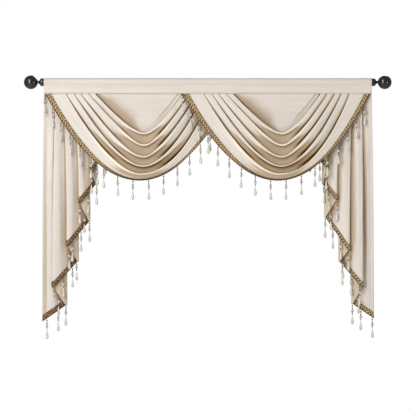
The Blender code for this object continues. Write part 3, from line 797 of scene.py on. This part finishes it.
def sheet(name, rows, tones, tree, finishes, held):
    """A thin cloth on a grid of points, with its dull side on the far side of its faces."""
    mesh = grid_mesh(name + "_cloth", rows, name.startswith("tail"))
    # Painted shade on each side of the cloth: how far it is shut in, plus the painted shading
    # tables on its front.
    for side, label, added in ((1, "occlusion_shade", tones + OPEN_TONE), (-1, "occlusion_shade_behind", 0.0)):
        set_values(mesh, label, held.gain * occlusion_shade(rows, side, held.strides, tree) + added)
    piece = put(name + "_cloth", mesh, finishes, [name])
    thick = piece.modifiers.new("cloth thickness", "SOLIDIFY")
    thick.thickness, thick.offset = CLOTH, 0.0
    thick.use_even_offset = False
    thick.material_offset = 1
    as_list(held.rests_on)


# ------------ braid

# Across the braid by shares from the band's upper edge to the hem, off the cloth and along the hem
# in metres.
BRAID_ROWS = {"swag": 2 * SWAG_STEPS + 1, "tail": TAIL_BRAID_ROWS}
RIBBON_EDGES, RIBBON_INSIDE = (0.02, 0.96), (0.25, 0.50, 0.75)
RIBBON_LIFT = (0.0009, 0.0017)
CORD_RADIUS, CORD_TWIST = 0.0008, 0.00072
UPPER_CORD, PLAIT_MIDDLE, LOWER_CORD = 0.07, 0.47, 0.91
PLAIT_SWING, PLAIT_WAVE = 0.24, 0.0005
SCROLL_SWING = 0.27
HEM_MARGIN = 0.0015  # from the hem's ends to the ends of the yarns
# A yarn of the braid: pitch of its winding, sides, half its width and height, how far its middle
# lies off the ribbon, and how far apart its rings of points are.
Yarn = namedtuple("Yarn", "pitch sides half_width half_height lift step")
CORD = Yarn(0.0088, 5, CORD_RADIUS, CORD_RADIUS, 0.00088, 0.0012)
PLAIT = Yarn(0.045, 6, 0.0022, 0.0007, 0.0007, 0.0020)
SCROLL = Yarn(0.0145, 5, 0.0019, 0.0009, 0.0018, 0.0014)
RIBBON_STEP = 0.0030
RIBBON, GOLD, PALE, DARK = range(4)  # finishes of a braid, in order


def sample(grid, row, column):
    """Points of a grid at places between its rows and columns."""
    j = np.clip(row.astype(int), 0, grid.shape[0] - 2)
    i = np.clip(column.astype(int), 0, grid.shape[1] - 2)
    a, b = (row - j)[..., None], (column - i)[..., None]
    above = mix(grid[j, i], grid[j, i + 1], b)
    return mix(above, mix(grid[j + 1, i], grid[j + 1, i + 1], b), a)


class Band:
    """The strip of cloth along a hem, on which its braid is laid."""

    def __init__(self, rows, count, outward):
        self.points = rows[-count - 1 :]
        self.normals = normals_of(rows)[-count - 1 :] * outward
        self.run = run_of(self.points[count // 2], 0)

    def place(self, distance, share):
        """The row and column at distances along the hem and a share of the way across."""
        column = np.interp(distance, self.run, np.arange(len(self.run)))
        return np.clip(share, 0.0, 1.0) * (len(self.points) - 1), column

    def at(self, distance, share, lift):
        """Points at distances along the hem, at a share of the way across and lifted off."""
        place = self.place(distance, share)
        off = sample(self.normals, *place) * np.asarray(lift)[..., None]
        return sample(self.points, *place) + off

    def tube(self, step, ring):
        """Rings of points along the hem, and how far the hem faces down at each of them, which its
        yarn paints as shade.

        ring gives shares and lifts at a column of distances.
        """
        count = int(self.run[-1] / step)
        distance = np.linspace(HEM_MARGIN, self.run[-1] - HEM_MARGIN, count)[:, None]
        share, lift = np.broadcast_arrays(*ring(distance))
        distance = np.broadcast_to(distance, share.shape)
        down = -sample(self.normals, *self.place(distance, share))[..., 2]
        return self.at(distance, share, lift), np.clip(down, 0, 1)

    def yarn(self, kind, middle, path, phase=0.0):
        """A yarn that winds along the braid. path gives its share off its middle and added lift."""
        turn = np.linspace(0, math.tau, kind.sides + 1)
        turn[-1] = 0.0

        def ring(distance):
            share, lift = path(math.tau * distance / kind.pitch + phase)
            share = middle + share + kind.half_width / BRAID_WIDTH * np.cos(turn)
            return share, RIBBON_LIFT[1] + kind.lift + lift + kind.half_height * np.sin(turn)

        return self.tube(kind.step, ring)


def ribbon_ring(distance):
    low, high = RIBBON_EDGES
    share = np.array([low, low, *RIBBON_INSIDE, high, high, *RIBBON_INSIDE[::-1], low])
    lift = np.array([0, 1, 1, 1, 1, 1, 0, 0, 0, 0, 0])
    return share + 0 * distance, mix(*RIBBON_LIFT, lift) + 0 * distance


def cord_path(turn):
    return CORD_TWIST / BRAID_WIDTH * np.cos(turn), CORD_TWIST * np.sin(turn)


def plait_path(turn):
    return PLAIT_SWING * np.sin(turn), PLAIT_WAVE * np.sin(2 * turn)


def scroll_path(turn):
    return SCROLL_SWING * np.sin(turn), 0.0


def braid_tubes(band):
    """The finish and the points of each tube of a braid."""
    yield RIBBON, band.tube(RIBBON_STEP, ribbon_ring)
    for middle, bright in ((UPPER_CORD, GOLD), (LOWER_CORD, DARK)):
        yield DARK, band.yarn(CORD, middle, cord_path)
        yield bright, band.yarn(CORD, middle, cord_path, math.pi)
    for i, finish in enumerate((GOLD, PALE, GOLD)):
        yield finish, band.yarn(PLAIT, PLAIT_MIDDLE, plait_path, math.tau * i / 3)
    yield DARK, band.yarn(SCROLL, PLAIT_MIDDLE, scroll_path)


def joined_tubes(name, tubes):
    """Closed tubes in one mesh, from grids whose first and last columns meet."""
    bm = bmesh.new()
    for finish, (rings, down) in tubes:
        part = grid_mesh("tube", rings)
        part.polygons.foreach_set("material_index", [finish] * len(part.polygons))
        # how far the hem faces down, painted as shade on the yarn
        set_values(part, "underside_shade", down)
        add_mesh(bm, part)
    return mesh_of(name, shaded_smooth(sealed(bm)))


# ------------ bead drops

THREAD, BEAD, CRYSTAL_BEAD, PEARL_DROP = range(4)  # finishes of a drop, in order

# Shapes turned round their own axis, as (height, radius) from the top down.
SMALL_BEAD = ((0.0038, 0.0010), (0.0030, 0.0027), (0, 0.0036), (-0.0030, 0.0027), (-0.0038, 0.0010))
SEED_BEAD = ((0.0016, 0.0008), (0, 0.0020), (-0.0016, 0.0008))
CAP = ((0.0030, 0.0010), (0.0018, 0.0025), (-0.0022, 0.0034), (-0.0030, 0.0012))
CUT_BEAD = ((0.0070, 0.0022), (0.0042, 0.0058), (0, 0.0069), (-0.0042, 0.0058), (-0.0070, 0.0022))
TEARDROP = (
    (0.0, 0.0008), (-0.004, 0.0020), (-0.012, 0.0031), (-0.021, 0.0048), (-0.0285, 0.0065),
    (-0.0335, 0.0069), (-0.0385, 0.0058), (-0.0418, 0.0032), (-0.0430, 0.0008),
)
THREAD_LINE = ((0.0012, 0.0005), (-0.052, 0.0005))

# A drop from its root on the hem down: profile, depth, sides, whether it is smooth, finish.
DROP_PARTS = (
    (THREAD_LINE, 0.0, 5, True, THREAD),
    (SEED_BEAD, 0.0038, 6, True, BEAD),
    (SMALL_BEAD, 0.0100, 8, True, BEAD),
    (SEED_BEAD, 0.0165, 6, True, BEAD),
    (SMALL_BEAD, 0.0225, 8, True, BEAD),
    (CUT_BEAD, 0.0335, 8, False, CRYSTAL_BEAD),
    (CAP, 0.0425, 8, True, BEAD),
    (SEED_BEAD, 0.0478, 6, True, BEAD),
    (TEARDROP, 0.0510, 10, True, PEARL_DROP),
)
DROP_LIFT = 0.0012  # of its root off the middle of the cloth
DROP_SWAY = math.radians(1.2)
DROP_REACH = ((0.010, 0.0040), (0.0335, 0.0072), (0.0825, 0.0072))  # (depth, radius) where thick
DROP_CLEARANCE = 0.0050  # from the middle of the cloth behind it, which may have a braid
FEEL_FROM, FEEL_REACH = 0.012, 0.030  # where cloth behind a drop is looked for, and how far


def drop_mesh():
    """One bead drop that hangs from the origin."""
    bm = bmesh.new()
    for profile, depth, sides, rounded, finish in DROP_PARTS:
        shape = turned([(radius, 0, height) for height, radius in profile], (0, 0, 1), sides)
        bmesh.ops.translate(shape, verts=shape.verts, vec=(0, 0, -depth))
        for face in shape.faces:
            face.smooth, face.material_index = rounded, finish
        add_mesh(bm, mesh_of("part", shape))
    return mesh_of("drop", bm)


def resting_lean(root, cloths):
    """How far forward the foot of a drop stands so that it clears the cloth behind it."""
    lean = 0.0
    for depth, radius in DROP_REACH:
        start = Vector((root.x, root.y - FEEL_FROM, root.z - depth))
        for cloth in cloths:
            hit = cloth.ray_cast(start, Vector((0, 1, 0)), FEEL_REACH)[0]
            if hit:
                lean = max(lean, (root.y - hit.y + radius + DROP_CLEARANCE) / depth)
    return lean


def bead_drops(name, band, spacing, cloths):
    """A row of bead drops along a hem, each with its own turn and slight sway."""
    one = drop_mesh()
    bm = bmesh.new()
    first, pitch = spacing
    distance = np.arange(first, band.run[-1], pitch)
    hem = np.ones_like(distance)
    for root in map(Vector, band.at(distance, hem, DROP_LIFT * hem)):
        lean = resting_lean(root, cloths)
        spin = noise.random() * math.tau
        sway = DROP_SWAY * (2 * noise.random() - 1)
        place = Matrix.Translation(root) @ Matrix.Rotation(-math.atan(lean), 4, "X")
        place = place @ Matrix.Rotation(sway, 4, "Y") @ Matrix.Rotation(spin, 4, "Z")
        before = len(bm.verts)
        bm.from_mesh(one)
        bm.verts.ensure_lookup_table()
        bmesh.ops.transform(bm, matrix=place, verts=bm.verts[before:])
    bpy.data.meshes.remove(one)
    return mesh_of(name, bm)


# ------------ rod and finials

TURNED_SIDES = 64
ROD_EDGE = 0.0012


def rod_mesh():
    bm = bmesh.new()
    bmesh.ops.create_cone(
        bm,
        cap_ends=True,
        segments=TURNED_SIDES,
        radius1=ROD_RADIUS,
        radius2=ROD_RADIUS,
        depth=ROD_LENGTH,
        matrix=Matrix.Rotation(math.pi / 2, 4, "Y"),
    )
    rims = [edge for edge in bm.edges if any(len(face.verts) > 4 for face in edge.link_faces)]
    bmesh.ops.bevel(
        bm, geom=rims, offset=ROD_EDGE, segments=3, profile=0.5, affect="EDGES", material=-1
    )
    return mesh_of("rod_tube", shaded_smooth(bm, lambda face: len(face.verts) == 4))


def finial_profile():
    """(distance from the cup's face, radius) along a finial."""
    edge = CUP_RADIUS - CUP_ROUND
    profile = [(0.0, 0.0), (0.0, edge)]
    for turn in np.linspace(0, math.pi / 2, 5):
        profile.append((CUP_ROUND * (1 - math.cos(turn)), edge + CUP_ROUND * math.sin(turn)))
    profile.append((CUP_LENGTH - CUP_EDGE, CUP_RADIUS))
    for share in np.linspace(0, 1, 9):
        flare = 1 - smooth(share**FLARE_POWER)
        radius = mix(NECK_RADIUS, CUP_RADIUS - FLARE_STEP, flare)
        profile.append((mix(CUP_LENGTH, NECK_X[0], share), radius))
    profile.append((NECK_X[1] - NECK_EDGE, NECK_RADIUS))
    for turn in np.linspace(math.asin(NECK_RADIUS / BALL_RADIUS), math.pi, 33):
        profile.append((BALL_X - BALL_RADIUS * math.cos(turn), BALL_RADIUS * math.sin(turn)))
    return profile


def finial_mesh(name, side):
    """A cup, a neck and a ball, turned as one piece."""
    points = [(side * (FINIAL_X + x), 0, radius) for x, radius in finial_profile()]
    mesh = mesh_of(name, turned(points, (1, 0, 0), TURNED_SIDES))
    mesh.shade_smooth()
    mesh.set_sharp_from_angle(angle=math.radians(50))
    return mesh


# ------------ stitches

STITCH_PITCH, STITCH_LENGTH, STITCH_RADIUS = 0.0034, 0.0026, 0.00032
STITCH_Y, STITCH_Z = LAP_Y - CLOTH / 2 - 0.0001, SEAM_Z + 0.0050
STITCH_MARGIN, STITCH_SLANT = 0.004, math.radians(4)


def stitch_row():
    """A row of sewing stitches along the heading's lower edge."""
    bm = bmesh.new()
    edge = DRAPE_WIDTH / 2 - STITCH_MARGIN
    size = Matrix.Diagonal((STITCH_LENGTH / 2, STITCH_RADIUS, STITCH_RADIUS, 1))
    for x in np.arange(-edge, edge, STITCH_PITCH):
        place = Matrix.Translation((x, STITCH_Y, STITCH_Z))
        place = place @ Matrix.Rotation(STITCH_SLANT * noise.random(), 4, "Y") @ size
        bmesh.ops.create_icosphere(bm, subdivisions=1, radius=1.0, matrix=place)
    return mesh_of("heading_stitches", shaded_smooth(bm))


# ------------ finishes: shared effects


def wired(tree, made, values):
    """Sets a node's inputs, by name or place, to values or links other nodes' sockets to them."""
    for key, value in values.items():
        if isinstance(value, bpy.types.NodeSocket):
            tree.links.new(value, made.inputs[key])
        else:
            made.inputs[key].default_value = value
    return made.outputs


def node(tree, kind, values, **settings):
    """The outputs of a new shader node."""
    made = tree.nodes.new("ShaderNode" + kind)
    for label, value in settings.items():
        setattr(made, label, value)
    return wired(tree, made, values)


def maths(tree, operation, *values):
    return node(tree, "Math", dict(enumerate(values)), operation=operation)[0]


def line_of(tree, value, slope, start):
    """A value times a slope, from a start."""
    return maths(tree, "MULTIPLY_ADD", value, slope, start)


def noise_of(tree, vector, detail, scale=1.0):
    return node(tree, "TexNoise", {"Vector": vector, "Scale": scale, "Detail": detail})["Fac"]


def stretched_noise(tree, vector, sizes, detail=2.0):
    """Noise with its own size along each axis of a vector."""
    scale = [1 / size for size in sizes]
    mapped = node(tree, "Mapping", {"Vector": vector, "Scale": scale}, vector_type="POINT")
    return noise_of(tree, mapped[0], detail)


def new_group(name, numbers, outputs, work):
    """A node group on a vector and numbers. work gives its outputs from the tree and the inputs."""
    group = bpy.data.node_groups.new(name, "ShaderNodeTree")
    group.interface.new_socket("Vector", in_out="INPUT", socket_type="NodeSocketVector")
    for label, value in numbers.items():
        socket = group.interface.new_socket(label, in_out="INPUT", socket_type="NodeSocketFloat")
        socket.default_value = value
    for label in outputs:
        group.interface.new_socket(label, in_out="OUTPUT", socket_type="NodeSocketFloat")
    given = group.nodes.new("NodeGroupInput").outputs
    results = work(group, given["Vector"], *(given[label] for label in numbers))
    wired(group, group.nodes.new("NodeGroupOutput"), dict(zip(outputs, results)))
    return group


def mottle(tree, vector, size, amount):
    """Slow, uneven changes of tone around 1."""
    swing = noise_of(tree, vector, 3.0, maths(tree, "DIVIDE", 1.0, size))
    yield line_of(tree, line_of(tree, swing, 2.0, -1.0), amount, 1.0)


def satin_threads(tree, vector, amount):
    """Satin threads along U and their slubs and streaks. V runs across them, both in metres."""
    floats = stretched_noise(tree, vector, (0.0040, 0.0005, 1.0), 1.0)
    slubs = stretched_noise(tree, vector, (0.16, 0.0050, 1.0))
    streaks = stretched_noise(tree, vector, (0.40, 0.022, 1.0))
    swing = line_of(tree, slubs, 0.8, line_of(tree, streaks, 1.2, -1.0))
    yield line_of(tree, swing, amount, line_of(tree, floats, 0.08, 0.96))
    yield floats


def twisted_plies(tree, vector, pitch):
    """Slanting plies of a twisted yarn, from its UV: U along it and V round it, in metres."""
    parts = node(tree, "SeparateXYZ", {0: vector})
    turns = maths(tree, "DIVIDE", maths(tree, "ADD", parts["X"], parts["Y"]), pitch)
    height = maths(tree, "ABSOLUTE", maths(tree, "SINE", maths(tree, "MULTIPLY", turns, math.pi)))
    yield line_of(tree, height, 0.45, 0.65)
    yield height


BOTH = ("Tone", "Height")
GROUPS = {
    "mottle": new_group("mottle", {"Size": 0.1, "Amount": 0.1}, ("Tone",), mottle),
    "satin": new_group("satin threads", {"Streaks": 0.10}, BOTH, satin_threads),
    "twist": new_group("twisted plies", {"Pitch": 0.002}, BOTH, twisted_plies),
}


def effect(tree, name, vector, **values):
    """The outputs of one of the shared effects, with its own values."""
    made = tree.nodes.new("ShaderNodeGroup")
    made.node_tree = GROUPS[name]
    return wired(tree, made, {"Vector": vector, **values})


def patches(tree, size, amount):
    place = node(tree, "TexCoord", {})["Object"]
    return effect(tree, "mottle", place, Size=size, Amount=amount)["Tone"]


def on_cloth(tree, name, **values):
    """An effect that follows the cloth or the yarn that it is on."""
    return effect(tree, name, node(tree, "UVMap", {}, uv_map="cloth")["UV"], **values)


def toned(tree, colour, *tones):
    """A colour, as a socket or as three numbers, multiplied by tones."""
    if not isinstance(colour, bpy.types.NodeSocket):
        plain = tree.nodes.new("ShaderNodeRGB").outputs[0]
        plain.default_value = (*colour, 1.0)
        colour = plain
    for tone in tones:
        colour = node(tree, "VectorMath", {0: colour, "Scale": tone}, operation="SCALE")[0]
    return colour


def bump(tree, height, distance, strength=1.0):
    return node(tree, "Bump", {"Distance": distance, "Strength": strength, "Height": height})[0]


def point_value(tree, label):
    return node(tree, "Attribute", {}, attribute_name=label)["Fac"]


# ------------ finishes


def material(name, roughness, look):
    """A material. look gives the other inputs of its shader from its node tree."""
    made = bpy.data.materials.new(name)
    made.use_nodes = True
    tree = made.node_tree
    wired(tree, tree.nodes["Principled BSDF"], {"Roughness": roughness, **look(tree)})
    return made


def satin_with_painted_shade(name, label, stops, roughness, sheen):
    """Satin with painted shade, warmer and darker the more the cloth round it shuts it in, and a
    painted highlight where its value falls below the open satin's.
    """

    def look(tree):
        ramp = tree.nodes.new("ShaderNodeValToRGB")
        ramp.color_ramp.interpolation = "EASE"
        points = ramp.color_ramp.elements
        for point, (position, colour) in zip(points, (stops[0], stops[-1])):
            point.position, point.color = position, (*colour, 1.0)
        for position, colour in stops[1:-1]:
            points.new(position).color = (*colour, 1.0)
        threads = on_cloth(tree, "satin", Streaks=0.16)
        uneven = patches(tree, size=0.14, amount=0.05)
        colour = wired(tree, ramp, {0: point_value(tree, label)})[0]
        return {
            "Base Color": toned(tree, colour, threads["Tone"], uneven),
            "Specular IOR Level": 0.35,
            "Sheen Weight": sheen,
            "Sheen Roughness": 0.4,
            "Normal": bump(tree, threads["Height"], distance=0.00008, strength=0.6),
        }

    return material(name, roughness, look)


def yarn_finish(name, colour, pitch=0.0022):
    """Twisted yarn, with painted shade where the hem that it lies on faces down."""

    def look(tree):
        plies = on_cloth(tree, "twist", Pitch=pitch)
        uneven = patches(tree, size=0.02, amount=0.22)
        # painted shade where the hem faces down
        under = line_of(tree, point_value(tree, "underside_shade"), -0.95, 1.0)
        return {
            "Base Color": toned(tree, colour, plies["Tone"], uneven, under),
            "Specular IOR Level": 0.25,
            "Sheen Weight": 0.12,
            "Normal": bump(tree, plies["Height"], distance=0.00025),
        }

    return material(name, 0.6, look)


def bead_finish(name, colour, roughness, transmission, coat=0.0):
    def look(tree):
        return {
            "Base Color": toned(tree, colour, patches(tree, size=0.02, amount=0.08)),
            "Transmission Weight": transmission,
            "IOR": 1.5,
            "Coat Weight": coat,
            "Coat Roughness": 0.06,
        }

    return material(name, roughness, look)


def lacquer(tree):
    return {
        "Base Color": toned(tree, BLACK, patches(tree, size=0.03, amount=0.25)),
        "Roughness": maths(tree, "MULTIPLY", patches(tree, size=0.008, amount=0.3), 0.16),
        "Coat Weight": 0.5,
        "Coat Roughness": 0.05,
    }


def pale_floor(tree):
    colour = toned(tree, WHITE_FLOOR, patches(tree, size=0.8, amount=0.02))
    return {"Base Color": colour, "Specular IOR Level": 0.3}


# ------------ stage

FLOOR_Z, FLOOR_RADIUS = -2.25, 5.0
CAMERA_DISTANCE, VIEW_WIDTH, VIEW_CENTRE = 9.0, 1.899, (0.001, -0.576)
DRAPE_FRONT = -0.03
WORLD_LIGHT = 0.265
WHITE = (1, 1, 1, 1)
# Name, place, target, size, power and colour.
SOFTBOXES = (
    ("key softbox", (-2.4, -4.0, 2.1), (0, 0, -0.4), (2.8, 2.8), 125, (0.97, 0.985, 1.0)),
    ("left softbox", (-2.6, -4.9, -0.5), (0, 0, -0.7), (1.2, 1.2), 82, (1, 1, 1)),
    ("right softbox", (3.4, -3.2, -0.4), (0.4, 0, -0.6), (0.5, 0.9), 27, (1.0, 0.92, 0.79)),
    ("back softbox", (0.8, 4.2, 2.2), (0, 0, -0.6), (2.4, 1.4), 45, (1, 1, 1)),
)


def add_floor():
    bm = bmesh.new()
    bmesh.ops.create_circle(bm, cap_ends=True, segments=96, radius=FLOOR_RADIUS)
    bmesh.ops.translate(bm, vec=(0, 0, FLOOR_Z), verts=bm.verts)
    floor = placed("floor", mesh_of("floor", bm))
    floor.data.materials.append(material("pale floor", 0.7, pale_floor))


def add_softbox(name, place, target, size, power, colour):
    data = bpy.data.lights.new(name, "AREA")
    data.shape = "RECTANGLE"
    data.size, data.size_y = size
    data.energy, data.color = power, colour
    lamp = placed(name, data)
    lamp.location = place
    lamp.rotation_euler = (Vector(target) - Vector(place)).to_track_quat("-Z", "Y").to_euler()


def add_camera():
    data = bpy.data.cameras.new("camera")
    data.sensor_width = 36.0
    data.lens = data.sensor_width * (CAMERA_DISTANCE + DRAPE_FRONT) / VIEW_WIDTH
    camera = placed("camera", data)
    camera.location = (VIEW_CENTRE[0], -CAMERA_DISTANCE, VIEW_CENTRE[1])
    camera.rotation_euler = (math.pi / 2, 0.0, 0.0)
    bpy.context.scene.camera = camera


def white_studio():
    """A white surround that shows as pure white and lights the drape softly."""
    made = bpy.data.worlds.new("studio")
    bpy.context.scene.world = made
    made.use_nodes = True
    tree = made.node_tree
    lit = wired(tree, tree.nodes["Background"], {"Color": WHITE, "Strength": WORLD_LIGHT})[0]
    seen = node(tree, "Background", {"Color": WHITE})[0]
    direct = node(tree, "LightPath", {})["Is Camera Ray"]
    pick = node(tree, "MixShader", {0: direct, 1: lit, 2: seen})[0]
    wired(tree, tree.nodes["World Output"], {0: pick})


def build_stage():
    white_studio()
    add_floor()
    add_camera()
    for box in SOFTBOXES:
        add_softbox(*box)
    bpy.context.scene.view_settings.view_transform = "Standard"


# ------------ assembly

# strides: rows and columns from one point to the next at which the painted shade of shut-in cloth
# is
# worked out. gain: how strongly that painted shade shows.
Held = namedtuple("Held", "flat area held rests_on strides gain")
SWAG_HELD = Held((1.10, 0.62), 0.34, "draped", ["heading"], (1, 3), 1.0)
TAIL_HELD = Held((0.95, 1.05), 0.48, "gathered", ["heading"], (3, 1), 0.5)
SHEETS = {
    "swag_left": SWAG_HELD,
    "swag_right": SWAG_HELD,
    "tail_left": TAIL_HELD,
    "tail_right": TAIL_HELD,
    "facing": Held((1.5, 0.21), 0.27, "hung", ["heading"], (2, 3), 0.2),
    "heading": Held((1.5, 0.19), None, "hung", ["rod"], (2, 6), 1.0),
}
# The satin's colour by its value: a painted highlight, the satin in the open, then painted shade
# from tan to the deepest brown.
FACE_STOPS = (
    (0.0, CREST_HIGHLIGHT), (0.05, CREAM), (0.11, CREAM), (0.20, TAN_SHADE), (0.50, HAZEL_SHADE), (0.68, UMBER_SHADE),
    (0.92, DEEPEST_SHADE),
)
OPEN_TONE = 0.05  # of satin in the open, on the scale of these stops
FLAT_PAINTED_SHADE = {"facing": 0.012, "heading": 0.054}  # painted shade added where the satin hangs flat
# The dull side's own colour, with painted shade where cloth shuts it in.
REVERSE_STOPS = ((0.0, REVERSE), (0.40, TAN_SHADE), (0.9, UMBER_SHADE))


def build_cloths(grids):
    # The painted shade counts every cloth but the heading, and each tail counts only its own cloth.
    tree = cloth_tree([rows[::2, ::2] for name, rows in grids.items() if name != "heading"])
    finishes = (
        satin_with_painted_shade("satin", "occlusion_shade", FACE_STOPS, 0.46, 0.12),
        satin_with_painted_shade("satin reverse", "occlusion_shade_behind", REVERSE_STOPS, 0.75, 0.10),
    )
    tones = {
        "swag_left": swag_painted_shading(),
        "swag_right": swag_painted_shading(),
        "tail_left": tail_painted_shading("left", grids["tail_left"].shape),
        "tail_right": tail_painted_shading("right", grids["tail_right"].shape),
        "facing": facing_painted_shadow(grids["facing"]) + FLAT_PAINTED_SHADE["facing"],
        "heading": np.full((1, 1), FLAT_PAINTED_SHADE["heading"]),
    }
    for name, held in SHEETS.items():
        step = OUTWARD[name]
        around = cloth_tree([grids[name][::2, ::2]]) if name.startswith("tail") else tree
        sheet(name, grids[name][:, ::step], tones[name][:, ::step], around, finishes, held)
    thread = yarn_finish("sewing thread", THREAD_COLOUR, 0.001)
    put("heading_stitches", stitch_row(), [thread], ["heading"])


def build_braids(grids):
    ground = yarn_finish("braid ground", DARK_YARN, 0.0016)
    dark = yarn_finish("brown yarn", BROWN_YARN)
    gold = [yarn_finish("gold yarn", GOLD_YARN), yarn_finish("pale gold yarn", PALE_YARN)]
    # darker copies of the gold yarns, used only on the left tail's braid
    dull = [yarn_finish("bronze yarn", BRONZE_YARN), yarn_finish("dull gold yarn", DULL_YARN)]
    beads = [
        yarn_finish("bead thread", BROWN_YARN, 0.001),
        bead_finish("bronze glass", BRONZE, 0.12, 0.30),
        bead_finish("cut crystal", CRYSTAL, 0.04, 0.55),
        bead_finish("pearl drop", PEARL, 0.22, 0.25, coat=0.6),
    ]
    behind = []
    for name, spacing in DROPS.items():
        rows, nodes = grids[name], [name + "_beaded_braid"]
        band = Band(rows, BRAID_ROWS[name[:4]], OUTWARD[name])
        braid = joined_tubes(name + "_braid_work", braid_tubes(band))
        yarns = [ground, *(dull if name == "tail_left" else gold), dark]
        put(name + "_braid_work", braid, yarns, nodes)
        own = cloth_tree([rows])
        cloths = [own] if name.startswith("tail") else behind
        drops = bead_drops(name + "_bead_drops", band, spacing, cloths)
        put(name + "_bead_drops", drops, beads, nodes)
        behind.append(own)


def build_rod():
    finishes = [material("black lacquer", 0.16, lacquer)]
    put("rod_tube", rod_mesh(), finishes, ["rod"])
    for name, side in (("finial_left", -1), ("finial_right", 1)):
        made = name + "_turned"
        put(made, finial_mesh(made, side), finishes, [name])


def build():
    noise.seed_set(7)
    grids = {f"swag_{side}": swag_rows(side) for side in SWAGS}
    grids.update({f"tail_{side}": tail_rows(side) for side in TAIL_FOLDS})
    grids.update(facing=facing_rows(), heading=heading_rows())
    build_cloths(grids)
    build_braids(grids)
    build_rod()
    build_stage()


build()
